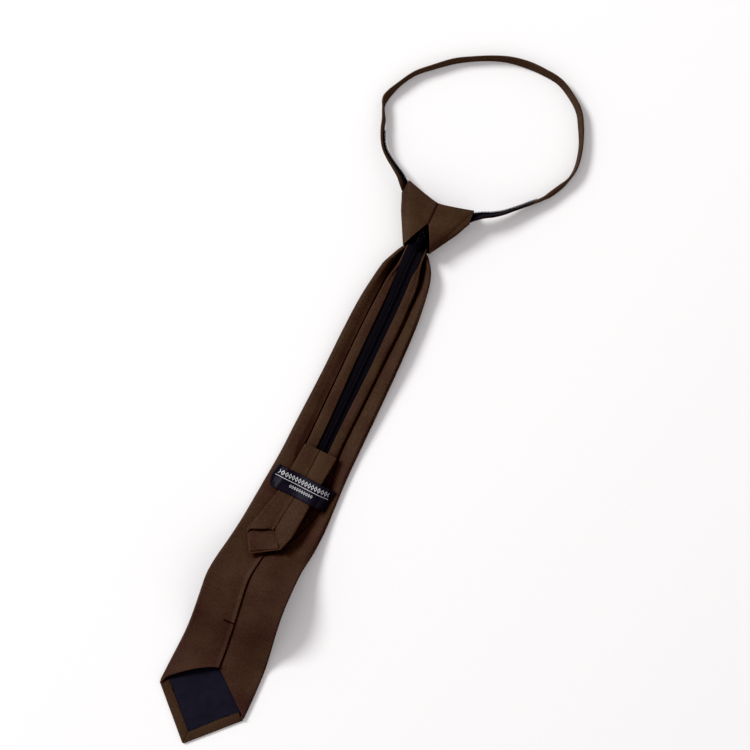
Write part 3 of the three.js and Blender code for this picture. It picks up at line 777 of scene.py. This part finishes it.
def blade_row(at):
    """A row of the blade's cloth, with its flaps pressed down beside the placket
    and the left one lying over the right where they meet."""
    middle, half, bend, radius = blade_form(at)
    high = CLOTH * 1.5 + LAYER_GAP
    meet = step(0.60, 0.64, at)

    def on_flap(x):
        return radius * math.asin(min(max((x - middle) / (radius - high), -0.99), 0.99))

    overlap = FLAP_LAP * meet
    left_end = on_flap(-read(BLADE_ROWS, "flap_left", at) * BLADE_HALF + overlap)
    right_end = on_flap(read(BLADE_ROWS, "flap_right", at) * BLADE_HALF - overlap * 0.5)
    half_arc = radius * bend
    s, h, flap, edge, cloth = folded_strip(
        half_arc, CLOTH, LAYER_GAP, left_end, right_end, flap_steps=34, front_steps=30,
    )
    left_side = np.arange(len(s)) < len(s) / 2
    growth = min(max((at - 0.9) / 0.1, 0.0), 1.0) ** 1.4
    shift = pointed_shift(s / half_arc, flap, TIP_SHARE, TIP_LENGTH, FLAP_RISE, growth)
    from_left = np.clip(1 + s / half_arc, 0, 1)
    bow = growth * FLAP_RISE * FLAP_BOW * 4 * from_left * (1 - from_left)
    y = -at * BLADE_REACH + (shift + bow * flap * left_side)

    # The flaps are rolled down at their edges, and open as a mouth at the tip
    opened = step(0.44, 0.52, at) * ~left_side
    roll = (1 - smooth(0, 7 + 4 * opened, edge)) * flap
    meets = np.where(left_side, meet, smooth(0.68, 0.70, at))
    pressed = (1.15 + 0.35 * opened) * roll * (1 - meets)
    lapped = np.where(left_side, 1.7, -1.2) * (1 - smooth(0, 4, edge)) * flap * meets
    mouth = step(0.93, 1.0, at)
    out = np.clip(np.abs(s) / half_arc, 0, 1)
    belly, apex = np.sin(np.pi * out), (1 - out) ** 2
    lapped += mouth * np.where(left_side, 3.8 * belly + 2.0 * apex, 0.4 * belly + 1.4 * apex) * flap

    # Soft waves over the flaps
    pressed_x = middle + (radius - h) * np.sin(s / radius)
    ripple = 0.22 * np.sin(y / 13 + pressed_x / 9) + 0.18 * np.sin(y / 29 - pressed_x / 12 + 1.3)
    puff = np.where(left_side, 0.8, 1.3) * np.sin(np.pi * smooth(0, half, edge) ** 0.8) + ripple
    room = step(0.07, 0.12, at) * (1 - mouth)
    h = h - pressed + lapped + puff * flap * room * smooth(0, 6, edge)
    lift = np.array([blade_lift(value) for value in y])
    x = middle + (radius - h) * np.sin(s / radius)
    z = lift + radius - (radius - h) * np.cos(s / radius)
    return np.stack([x, y, z], axis=1), np.stack([cloth, y], axis=1)


def blade_neck_row(y):
    """A row of the blade inside the knot, as wide as the knot's foot lets it be."""
    first = BLADE_ROWS["at"][0]
    middle, half, _, _ = blade_form(first)
    room = KNOT_FOOT_WIDTH / 2 - CLOTH - 2 * CLEAR
    points, uv = blade_row(first)
    points[:, 0] = KNOT_SHIFT + (points[:, 0] - middle) * room / half
    points[:, 1] = uv[:, 1] = y
    return points, uv


def rows_to_grid(rows):
    return np.array([row[0] for row in rows]), np.array([row[1] for row in rows])


def tip_corner(inset):
    """The left corner, the tip and the right corner of the pointed end, moved inward."""
    middle, half, _, _ = blade_form(1.0)
    slant = math.hypot(half, TIP_LENGTH)
    across, along = inset * slant / TIP_LENGTH, inset * slant / half
    left = np.array([middle - half + across, -BLADE_REACH])
    tip = np.array([middle + half * TIP_SHARE, -BLADE_REACH - TIP_LENGTH + along])
    right = np.array([middle + half - across, -BLADE_REACH])
    return left, tip, right


def hem_grid(side):
    """One half of the hem: rolled round the cloth's edge and pressed inward."""
    start, end, _ = tip_corner(0.0)[::-side]
    start_in, end_in, _ = tip_corner(HEM_WIDTH)[::-side]
    around = np.radians(np.linspace(-90, 90, 9))
    profile = [(-HEM_ROLL * math.cos(a), CLOTH + HEM_ROLL * math.sin(a)) for a in around]
    widths = np.linspace(0, 1, 16)[1:]
    profile += [(w * HEM_WIDTH, HEM_HEIGHT + 0.25 * math.sin(math.pi * w) - 0.3 * w ** 6) for w in widths]
    rows, uvs = [], []
    for t in np.linspace(0.02, 1, 60):
        point = start + (end - start) * t
        inward = (start_in + (end_in - start_in) * (t * 1.16 - 0.16) - point) / HEM_WIDTH
        wave = 0.12 * math.sin(t * 19) + 0.08 * math.sin(t * 43 + 1)
        reach = [w + (wave if w > HEM_WIDTH * 0.8 else 0) for w, _ in profile]
        rows.append([(*(point + inward * w), z) for w, (_, z) in zip(reach, profile)])
        uvs.append([(w, t * HEM_LENGTH) for w, _ in profile])
    return np.array(rows)[::side], np.array(uvs)[::side]


def make_blade():
    inside = [blade_neck_row(y) for y in np.linspace(-BLADE_TOP, KNOT_FOOT - CLEAR, 6)]
    places = stations(BLADE_ROWS["at"][0], (0.14, 34), (0.9, 150), (1.0, 34))
    grid, uv = rows_to_grid(inside + [blade_row(at) for at in places])
    blade = brown_piece("blade_cloth", grid, CLOTH, uv, "blade")
    for side, name in ((-1, "tip_hem_left"), (1, "tip_hem_right")):
        points, hem_uv = hem_grid(side)
        brown_piece(name, points, HEM_WALL, hem_uv)
    bpy.context.view_layer.update()
    make_bar_tack(blade)


def make_tipping():
    """The satin facing: from under the flaps down to the hem, with soft wrinkles."""
    left, tip, right = tip_corner(HEM_WIDTH - 0.9)
    top, low = -BLADE_REACH + FLAP_RISE + 4.0, tip[1]
    corner = -BLADE_REACH + 6.5
    reach = (right[0] - left[0]) / 2 * (corner - low) / (-BLADE_REACH - low)
    u = np.linspace(-1, 1, TIPPING_COLUMNS)
    grid = []
    for y in stations(top, (corner, 36), (low + 0.3, 44)):
        if y > corner:
            spread = 0.12 + 0.88 * (top - y) / (top - corner)
        else:
            spread = (y - low) / (corner - low)
        xs = tip[0] + u * reach * spread
        swell = (1 - u ** 4) * min(1.0, spread * 2)
        fold = 0.30 * np.sin(xs / 9 + y / 13) + 0.20 * np.sin(xs / 5 - y / 7)
        grid.append(np.stack([xs, np.full(len(u), y), TIPPING_HEIGHT + swell * fold], axis=1))
    grid = np.array(grid)
    tipping = sheet_object("tipping_satin", grid, TIPPING_WALL, grid[..., :2], NAVY)
    place(tipping, "navy_satin", "blade_tipping")


# Knot


def knot_row(at):
    """A row round the knot, from the seam at the middle of its back, round by the
    front and back to the seam, where the left edge lies over the right one."""
    half = (KNOT_FOOT_WIDTH + (KNOT_TOP_WIDTH - KNOT_FOOT_WIDTH) * at) / 2
    depth = read(KNOT_ROWS, "depth", at) * KNOT_DEPTH / 2
    middle = max(0.0, read(KNOT_ROWS, "lift", at)) * KNOT_DEPTH + depth
    open_share = min(VEE_WIDTH / 2 * (1 - at / (VEE_HEIGHT / KNOT_HEIGHT)) / half, 0.995)
    closed = step(-0.02, 0.02, -open_share)
    start = math.asin(max(open_share, 0.0) ** (KNOT_SQUARENESS / 2))
    lap = 0.045 * closed
    turn = np.linspace(0, 1, KNOT_COLUMNS)
    low, high = start - lap, 2 * math.pi - start + lap * 0.02
    fine = turn - 0.10 * np.sin(2 * math.pi * turn) / (2 * math.pi) * 6
    angle = low + (high - low) * fine
    sine, cosine = np.sin(angle), np.cos(angle)
    power = 2 / KNOT_SQUARENESS
    share = np.sign(sine) * np.abs(sine) ** power
    height = np.sign(cosine) * np.abs(cosine) ** power
    side = np.abs(share)
    slit = CORNER_SLIT * smooth(0.93, 1.0, side)
    y = KNOT_FOOT + at * (KNOT_HEIGHT + KNOT_DIP * side ** 1.2 - slit) + 1.5 * share * (1 - at)
    wall = CLOTH / 2
    back = smooth(0.0, 0.5, height)
    from_right, from_left = (angle - low) * half, (high - angle) * half
    over = 0.55 * (1 - smooth(0, 5, from_left)) * back - 0.45 * (1 - smooth(0, 3.5, from_right)) * back
    hollow = -1.1 * np.exp(-((share * half) / 14) ** 2) * back * smooth(0.15, 0.6, at)
    creases = 0.35 * np.sin(share * half / 5.5 + at * 5) * back * smooth(0.2, 1, side) * (1 - at)
    z = middle + height * (depth - wall) + CORNER_LIFT * at * side ** 4 - KNOT_SETTLE
    z = z + over * closed + hollow + creases
    corner = smooth(0.86, 1.0, side) * smooth(0.6, 1.0, at)
    x = KNOT_SHIFT + share * (half - wall - 1.6 * corner * (1 - smooth(0.3, 0.9, height)))
    points = np.stack([x, y, np.maximum(z, wall)], axis=1)
    cloth = travel(points[:, ::2])
    return points, np.stack([cloth - cloth[-1] / 2, y], axis=1)


def make_knot():
    places = stations(0, (VEE_HEIGHT / KNOT_HEIGHT, 60), (1, 60))
    grid, uv = rows_to_grid([knot_row(at) for at in places])
    knot = brown_piece("knot_cloth", grid, CLOTH, uv, "knot")


# Placket and tapes


def placket_read(name, y):
    return read(PLACKET_ROWS, name, (-y - PLACKET_TOP) / (PLACKET_REACH - PLACKET_TOP))


def placket_base(y):
    return blade_lift(y) + placket_read("rise", y) * PLACKET_RISE


def zip_middle(y):
    return placket_read("middle", y) * PLACKET_HALF


def placket_row(at):
    middle, half = span(PLACKET_ROWS, PLACKET_HALF, at)
    y = -PLACKET_TOP - at * (PLACKET_REACH - PLACKET_TOP)
    slot = zip_middle(y) - middle
    show = min(ZIP_SHOW, half - 2.1) - ZIP_NARROW * step(0.55, 0.88, at)
    s, h, flap, edge, cloth = folded_strip(
        half, TAIL_CLOTH, LAYER_GAP, slot - show, slot + show, flap_steps=14, front_steps=10,
    )
    puff = 0.35 * np.sin(np.pi * smooth(0, half - show + 1, edge)) - 0.25 * (1 - smooth(0, 1.5, edge))
    roof = 1.6 * (1 - smooth(0.1, 0.4, at)) * (s / half) ** 2
    h = h + puff * flap - roof * flap
    h = h * (0.5 + 0.5 * smooth(0.07, 0.21, at))
    ripple = 0.12 * np.sin(y / 9 + 2 * np.sign(s)) * flap
    points = np.stack([middle + s, np.full(len(s), y), placket_base(y) + h + ripple], axis=1)
    return points, np.stack([cloth, points[:, 1]], axis=1)


def make_placket():
    grid, uv = rows_to_grid([placket_row(at) for at in np.linspace(0, 1, 130)])
    placket = brown_piece("placket_cloth", grid, TAIL_CLOTH, uv, "zip_placket")


def loop_spot(at):
    """A place on the neck band's lower edge."""
    return np.array([
        read(LOOP_ROWS, "across", at) * LOOP_SPAN,
        LOOP_START + read(LOOP_ROWS, "along", at) * LOOP_REACH,
        max(0.0, read(LOOP_ROWS, "rise", at)) * BAND_RISE,
    ])


def band_frame(at):
    """A place in the leaning band's lower edge, the way across the band and the way
    out of its inner face."""
    ahead = loop_spot(min(at + 0.1, LOOP_LAST)) - loop_spot(max(at - 0.1, 0))
    ahead[2] = 0
    ahead = unit(ahead)
    outward, up = np.array([ahead[1], -ahead[0], 0.0]), np.array([0.0, 0.0, 1.0])
    lean = math.radians(read(LOOP_ROWS, "lean", at))
    across = outward * math.cos(lean) + up * math.sin(lean)
    face = up * math.cos(lean) - outward * math.sin(lean)
    return loop_spot(at) + up * (BAND_WALL / 2 * math.cos(lean)), across, face


def tape_route(side):
    """Places along one half of the tape: its inner edge, the way across and its face."""
    flat, up = np.array([side, 0.0, 0.0]), np.array([0.0, 0.0, 1.0])
    tape_height = TAIL_CLOTH + CLEAR + TAPE_WALL / 2
    places = []
    for y in np.linspace(-PLACKET_REACH + CLEAR, SLIDER_TOP - SLIDER_LENGTH, ON_PLACKET_STEPS):
        middle = zip_middle(y) if y < -PLACKET_TOP else 0.0
        height = placket_base(min(y, -PLACKET_TOP)) + tape_height
        places.append((np.array([middle + side * CLEAR / 2, y, height]), flat, up))
    low = places[-1][0]

    # The bridge from the slider up to the band
    corner = 1 if side > 0 else LOOP_LAST - 1
    over = BAND_WALL / 2 * (BAND_SLIM if side > 0 else 1) + 0.3
    rim = BAND_WIDTH - TAPE_WIDTH - TAIL_CLOTH
    spot, slant_across, slant_face = band_frame(corner)
    leave = spot + slant_across * rim + slant_face * over
    for t in np.linspace(0, 1, BRIDGE_STEPS)[1:-1]:
        ease = step(0, 1, t)
        edge = low + (leave - low) * t
        edge[1] = low[1] + (leave[1] - low[1]) * (1 - (1 - t) ** 1.5)
        across = unit(flat + (slant_across - flat) * ease)
        face = up + (slant_face - up) * ease
        places.append((edge, across, unit(face - across * face.dot(across))))

    # Along the band's inner face, to where the tape ends
    stop = LOOP_LAST * (RIGHT_TAPE_SHARE if side > 0 else LEFT_TAPE_SHARE)
    for at in np.linspace(corner, stop, ON_BAND_STEPS):
        spot, across, face = band_frame(at)
        sunk = 0.6 * step(0.75, 1.0, abs(at - corner) / abs(stop - corner))
        places.append((spot + across * rim + face * (over - sunk), across, face))
    return places


def make_tapes():
    for side, word in ((1, "right"), (-1, "left")):
        route = tape_route(side)
        shares = np.linspace(0, 1, TAPE_COLUMNS)[::side]
        on_band = np.arange(len(route)) - (len(route) - ON_BAND_STEPS)
        wide = TAPE_WIDTH + smooth(-10, 6, on_band) * (RIGHT_WIDENING if side > 0 else LEFT_WIDENING)
        taper = np.clip((on_band - (ON_BAND_STEPS - 1 - TAPER_STEPS)) / TAPER_STEPS, 0, 1)
        reaches = shares[None, :] * (wide * (1 - 0.9 * taper))[:, None]
        grid = np.array([
            [edge + across * r for r in row] for (edge, across, _), row in zip(route, reaches)
        ])[::-1]
        along = travel([edge for edge, _, _ in route])
        uv = np.stack(np.broadcast_arrays(reaches[::-1], along[::-1, None]), axis=2)
        tape = sheet_object(f"tape_{word}", grid, TAPE_CLOTH, uv, TAPE)
        place(tape, "black_tape", f"zip_tape_{word}")
        make_teeth(side, word, route, along)


def make_teeth(side, word, route, along):
    """Nylon teeth, bar by bar, interlocked below the slider and bare above it, with
    the thread that sews them down."""
    bars, beads = [], []
    columns = [np.array(column) for column in zip(*route)]
    for k in range(int((along[-1] - TEETH_STOP) / TOOTH_PITCH)):
        at = (k + (0.5 if side > 0 else 0.0)) * TOOTH_PITCH
        edge, over, up = (
            np.array([np.interp(at, along, column[:, i]) for i in range(3)]) for column in columns
        )
        over, up = unit(over), unit(up)
        on_band = step(BAND_SETTLE, BAND_SETTLE + 12, at)
        base = edge + up * (TAPE_CLOTH / 2 + TOOTH_RADIUS) + over * BAND_TEETH_SHIFT * on_band
        bars.append((base - over * TOOTH_TUCK, base + over * (COIL_WIDTH - 0.15)))
        bead = base + over * BEAD_OUT + up * BEAD_UP
        along_tape = unit(np.cross(up, over)) * BEAD_HALF
        beads.append((bead - along_tape, bead + along_tape))
    teeth = capsules(f"teeth_{word}", bars, TOOTH_RADIUS, COIL, sides=8, rings=3)
    place(teeth, "black_coil", f"zip_coil_{word}")
    place(capsules(f"teeth_thread_{word}", beads, BEAD_RADIUS, BLACK_THREAD), "black_tape")


# Slider and pull


def plate(name, outline, bottom, top, bevel, material):
    """A flat plate with softened edges."""
    count = len(outline)
    points = [(x, y, z) for z in (bottom, top) for x, y in outline]
    faces = [tuple(reversed(range(count))), tuple(range(count, 2 * count))]
    faces += [(i, (i + 1) % count, count + (i + 1) % count, count + i) for i in range(count)]
    obj = mesh_object(name, points, faces, [p[:2] for p in points], material, sharp=40)
    soft = obj.modifiers.new("soft_edges", "BEVEL")
    soft.width = bevel * MM
    soft.segments = 3
    soft.limit_method = "ANGLE"
    return obj


def shield(width, length, middle, waist):
    """A slider plate's outline: wide shoulders at the top and a narrower foot."""
    half, low = width / 2, width / 2 * waist
    top, foot = middle + length / 2, middle - length / 2
    right = [
        (low * 0.6, foot), (low * 0.9, foot + 0.5), (low, foot + 1.6), (half * 0.98, top - 4.0),
        (half, top - 2.2), (half * 0.9, top - 0.8), (half * 0.45, top),
    ]
    return [(-x, y) for x, y in reversed(right)] + right


def arch_bar(name, width, thick, path, material):
    """A flat bar bent along a path in the plane across the slider's middle."""
    path = np.array(path, float)
    section = squarish(16, width / 2, thick / 2)
    rings, uvs = [], []
    for (y, z), (ty, tz) in zip(path, unit(np.gradient(path, axis=0))):
        rings.append([(x, y - off * tz, z + off * ty) for x, off in section])
        uvs.append([(k * 0.3, y) for k in range(16)])
    return tube_object(name, rings, uvs, material)


def make_slider():
    base = placket_base(-PLACKET_TOP) + TAIL_CLOTH + CLEAR + TAPE_WALL / 2
    under = base - TAPE_WALL / 2 - CLEAR * 2
    over = base + TAPE_WALL / 2 + CLEAR * 2 + 1.2
    top = over + SLIDER_PLATE
    middle = SLIDER_TOP - SLIDER_LENGTH / 2 + 2
    outline = shield(SLIDER_WIDTH, SLIDER_LENGTH, middle, SLIDER_WAIST)
    post = rectangle((-POST_HALF, POST_HALF), (middle + 3.4, middle + 5))
    bow = [(middle + y, top + z) for y, z in BOW_PATH]
    slider = join("slider", [
        plate("slider_top", outline, over, top, 0.35, METAL),
        plate("slider_bottom", outline, under - SLIDER_PLATE, under, 0.3, METAL),
        plate("slider_post", post, under - 0.2, over + 0.2, 0.1, METAL),
        arch_bar("slider_bow", BOW_WIDTH, BOW_THICK, bow, METAL),
    ])
    place(slider, "black_metal", "zip_slider")
    make_pull(top + 0.45)


def rectangle(xs, ys):
    return [(xs[0], ys[0]), (xs[1], ys[0]), (xs[1], ys[1]), (xs[0], ys[1])]


def make_pull(low):
    """The pull tab: an eye round the bow and a ridged grip."""
    start = SLIDER_TOP + 1
    foot = start - PULL_LENGTH
    half = PULL_WIDTH / 2
    eye = (start - 8.4, start - 3.0)
    bars = [
        ("pull_eye_left", (-half, -half + PULL_BAR), eye, 0, PULL_THICK),
        ("pull_eye_right", (half - PULL_BAR, half), eye, 0, PULL_THICK),
        ("pull_eye_top", (-half, half), (start - 4.0, start - 2.9), 0, PULL_THICK),
        ("pull_grip", (-half, half), (foot, start - 7.6), 0, PULL_THICK),
    ]
    for k in range(RIDGES):
        y = foot + 1.3 + k * RIDGE_PITCH
        bars.append((f"pull_ridge_{k}", (-half + 0.7, half - 0.7), (y, y + 0.5), 0.6, 1.15))
    pull = join("pull", [
        plate(name, rectangle(xs, ys), low + bottom, low + top, PULL_BEVEL, METAL)
        for name, xs, ys, bottom, top in bars
    ])
    place(pull, "black_metal", "zip_pull")


# Tail and label


def tail_base(along):
    return blade_lift(-TAIL_START - along) + read(TAIL_ROWS, "lift", along / TAIL_LENGTH) * TAIL_RISE


def tail_tilt(along, across):
    """How far the tail's right side stands up from the blade."""
    return TAIL_TILT * (0.2 + 0.8 * smooth(0, 34, along)) * smooth(-0.6, 0.8, across)


def tail_row(at):
    middle, half = span(TAIL_ROWS, TAIL_HALF, at)
    seam = read(TAIL_ROWS, "seam", at) * TAIL_HALF - middle
    growth = min(max((at - 0.8) / 0.2, 0.0), 1.0) ** 1.3
    s, h, flap, edge, cloth = folded_strip(
        half, TAIL_CLOTH, TAIL_GAP, seam + 0.7, seam - 0.4, flap_steps=26, front_steps=24,
    )
    left_side = np.arange(len(s)) < len(s) / 2
    peak = np.where(flap > 0, 0.16, -0.34)
    shift = pointed_shift(s / half, flap, peak, TAIL_TIP, TAIL_FLAP, growth)
    shift = shift + TAIL_SKEW * growth * np.clip((peak - s / half) / (peak + 1), 0, 1)
    along = at * TAIL_LENGTH - shift
    lift = np.array([tail_base(a) for a in along])
    lapped = np.where(left_side, 0.3, -0.6) * (1 - smooth(0, 3.5, edge)) * flap
    puff = (0.35 * np.sin(np.pi * smooth(0, half, edge)) + 0.1 * np.sin(along / 7 + s / 6)) * flap
    mouth = smooth(0.8, 1.0, at) * np.sin(np.pi * np.clip(np.abs(s) / half, 0, 1)) ** 0.6
    lapped = lapped + np.where(left_side, 2.7, 0.9) * mouth * flap
    h = h + lapped + puff * (1 - growth) + tail_tilt(along, (middle + s) / TAIL_HALF)
    points = np.stack([middle + s, -TAIL_START - along, lift + h], axis=1)
    return points, np.stack([cloth, -along], axis=1)


def make_tail():
    grid, uv = rows_to_grid([tail_row(at) for at in np.linspace(0, 1, 110)])
    tail = brown_piece("tail_cloth", grid, TAIL_CLOTH, uv, "tail")
    facing = make_tail_facing()


def make_tail_facing():
    """The small facing in the tail's open tip, set in a little from its edge."""
    left, tip, right, top = (np.array(corner) for corner in TAIL_FACING)
    grid = np.empty((30, 40, 3))
    for i, down in enumerate(np.linspace(0, 1, 30)):
        for j, over in enumerate(np.linspace(0, 1, 40)):
            x, y = (1 - down) * ((1 - over) * left + over * top) + down * ((1 - over) * tip + over * right)
            along = -TAIL_START - y
            z = tail_base(along) + 1.5 * TAIL_CLOTH + float(tail_tilt(along, x / TAIL_HALF))
            grid[i, j] = x, y, z
    return brown_piece("tail_facing", grid, FACING_WALL, grid[..., :2])


def label_height(x, tall):
    """Height of the label's middle over its length, from flap over tail to flap."""
    drop = -TAIL_START - LABEL_PLACE - tall * LABEL_HEIGHT
    left, right = sides(TAIL_ROWS, TAIL_HALF, drop / TAIL_LENGTH)
    left, right = -left - CLEAR, right + CLEAR
    tail_top = tail_base(drop) + 2 * TAIL_CLOTH + TAIL_GAP + 3 * CLEAR
    tail_top += float(tail_tilt(drop, np.clip(x, left, right) / TAIL_HALF))
    _, _, _, radius = blade_form(-LABEL_PLACE / BLADE_REACH)
    flap_top = 2 * CLOTH + LAYER_GAP + radius - math.sqrt(radius ** 2 - x ** 2) + CLEAR
    over = step(left - 8, left - 1, x) * (1 - step(right + 0.5, right + 11.5, x))
    curl = LABEL_CURL * step(20, 25, x) * step(-0.2, 0.5, tall)
    roll = 1.2 * (1 - step(-26, -21, x)) * (1 - (2 * tall) ** 2)
    return flap_top * (1 - over) + tail_top * over + 0.45 + curl + roll


def label_point(share, tall):
    """A point of the label: its left end bulges out and its right end curls."""
    x = LABEL_SHIFT + share * LABEL_WIDTH
    x -= LABEL_BULGE * (1 - step(-0.5, -0.3, share)) * (1 - (2 * tall) ** 2)
    x += 0.8 * step(0.42, 0.5, share) * tall
    y = LABEL_PLACE + tall * LABEL_HEIGHT - 1.0 * share + 0.8 * math.cos(math.pi * share) * abs(tall) * 0.6
    sag = 0.16 * math.sin(x / 3.1 + tall * 5) * (1 - abs(2 * share) ** 3)
    sag += 0.35 * math.sin(x / 1.4 + tall * 3) * (1 - step(-24, -16, x))
    return x, y, label_height(x, tall) + sag


def make_label():
    shares, talls = np.linspace(0.5, -0.5, 150), np.linspace(0.5, -0.5, 44)
    grid = np.array([[label_point(share, tall) for tall in talls] for share in shares])
    uv = np.array([[(share * LABEL_WIDTH, tall * LABEL_HEIGHT) for tall in talls] for share in shares])
    label = sheet_object("label_satin", grid, LABEL_WALL, uv, LABEL)
    place(label, "black_satin", "label_keeper")
    stitches = label_stitches()


def label_stitches():
    """Small stitches that sew both ends of the label to the flaps."""
    lift = np.array([0, 0, LABEL_WALL / 2])
    pairs = []
    for share in (1.5 / LABEL_WIDTH - 0.5, 0.5 - 1.5 / LABEL_WIDTH):
        for tall in np.linspace(-0.43, 0.43, 10):
            start, end = label_point(share, tall - 0.025), label_point(share + 0.004, tall + 0.03)
            pairs.append((start + lift, end + lift))
    return place(capsules("label_stitches", pairs, LABEL_STITCH, BLACK_THREAD), "black_tape")


# Neck band


def make_band():
    """The folded strip of the neck loop, a little fuller at its folded top edge."""
    section = squarish(BAND_SIDES, BAND_WIDTH / 2, BAND_WALL / 2, 0.35)
    frames = [band_frame(at) for at in np.linspace(0, LOOP_LAST, BAND_RINGS)]
    centres = [spot + across * (BAND_WIDTH / 2) for spot, across, _ in frames]
    travelled = travel(centres)
    rings, uvs = [], []
    for i, at in enumerate(np.linspace(0, LOOP_LAST, BAND_RINGS)):
        _, across, face = frames[i]
        slim = BAND_SLIM + (1 - BAND_SLIM) * step(6, 8, at)
        full = 0.7 * math.exp(-((at - 9.1) / 1.6) ** 2)
        wave = 1 + 0.12 * math.sin(travelled[i] / 11)
        ring = []
        for w, t in section:
            t *= (wave + 0.10 * (w / BAND_WIDTH)) * slim + full
            if t > 0:
                t -= 0.28 * math.exp(-((w + 1.2) / 0.5) ** 2)
            point = centres[i] + across * w + face * t
            point[2] = max(point[2], 0.02)
            ring.append(point)
        rings.append(ring)
        uvs.append([(k * BAND_WIDTH * 2.2 / BAND_SIDES, travelled[i]) for k in range(BAND_SIDES)])
    place(tube_object("band_cloth", rings, uvs, BROWN), "brown_cloth", "neck_band")


# Stitches


def make_bar_tack(blade):
    """The bar tack across the blade's seam: close stitches side by side, in thread dark enough that it
    also paints the shade of the tuck there.
    """
    pairs = []
    for k in range(TACK_STITCHES):
        x = TACK_START[0] + k * TACK_WIDTH / (TACK_STITCHES - 1)
        y = TACK_START[1] + 0.02 * k
        _, spot, _, _ = blade.ray_cast(Vector((x * MM, y * MM, 0.1)), Vector((0, 0, -1)))
        z = spot.z / MM + 0.05
        pairs.append(((x, y - 0.5, z), (x + 0.1, y + 0.5, z)))
    place(capsules("bar_tack", pairs, TACK_RADIUS, BROWN_THREAD_AND_PAINTED_TUCK_SHADE, sides=8), "brown_cloth")


def make_hem_stitches():
    """Small slip stitches where the hem meets the satin."""
    left, tip, right = tip_corner(HEM_WIDTH - 0.5)
    left_in, tip_in, right_in = tip_corner(HEM_WIDTH + 0.7)
    pairs = []
    for outer, inner in ((left, left_in), (right, right_in)):
        for t in np.linspace(0.08, 0.96, 13):
            start, end = outer + (tip - outer) * t, inner + (tip_in - inner) * (t + 0.012)
            pairs.append(((*start, 2.45), (*end, 2.35)))
    place(capsules("hem_stitches", pairs, HEM_STITCH, BROWN_THREAD_AND_PAINTED_TUCK_SHADE), "brown_cloth")


# Room


def make_floor():
    points = [(*p, 0) for p in rectangle((-FLOOR_REACH, FLOOR_REACH), (-FLOOR_REACH, FLOOR_REACH))]
    floor = mesh_object("floor", points, [(0, 1, 2, 3)], [p[:2] for p in points], floor_paper())


def aim(obj, target):
    """Points an object's -Z at a place."""
    x, y, z = np.array(target) - np.array(obj.location)
    obj.rotation_euler = (math.atan2(math.hypot(x, y), -z), 0, math.atan2(y, x) - math.pi / 2)


def make_lights():
    world = bpy.data.worlds.new("studio")
    bpy.context.scene.world = world
    world.use_nodes = True
    background = world.node_tree.nodes["Background"]
    background.inputs[0].default_value = SKY_COLOUR
    background.inputs[1].default_value = SKY_STRENGTH
    key = bpy.data.lights.new("softbox", "AREA")
    key.shape = "DISK"
    key.size = KEY_SIZE
    key.energy = KEY_WATTS
    key.color = KEY_COLOUR
    lamp = add_object("softbox", key)
    elevation = math.radians(KEY_ELEVATION)
    away = np.array(KEY_HEADING) * KEY_DISTANCE * math.cos(elevation)
    lamp.location = (away[0], LIT_PLACE[1] + away[1], KEY_DISTANCE * math.sin(elevation))
    aim(lamp, LIT_PLACE)


def make_camera():
    data = bpy.data.cameras.new("overhead")
    data.sensor_width = SENSOR_WIDTH
    data.lens = SENSOR_WIDTH * CAMERA_HEIGHT / VIEW_WIDTH
    camera = add_object("overhead", data)
    camera.location = (*VIEW_CENTRE, CAMERA_HEIGHT)
    camera.rotation_euler = (0, 0, math.radians(VIEW_ROLL))
    bpy.context.scene.camera = camera


def set_view():
    """A print-like toe: deep shadows close up, and the rest stays as it is."""
    view = bpy.context.scene.view_settings
    view.view_transform = "Standard"
    view.use_curve_mapping = True
    curve = view.curve_mapping.curves[3]
    for x in TOE_PLACES:
        point = curve.points.new(x, x ** 3 / (x ** 2 + TOE ** 2))
        point.handle_type = "VECTOR"
    view.curve_mapping.update()


make_camera()
make_floor()
make_lights()
make_blade()
make_tipping()
make_knot()
make_placket()
make_tapes()
make_slider()
make_tail()
make_label()
make_band()
make_hem_stitches()
set_view()
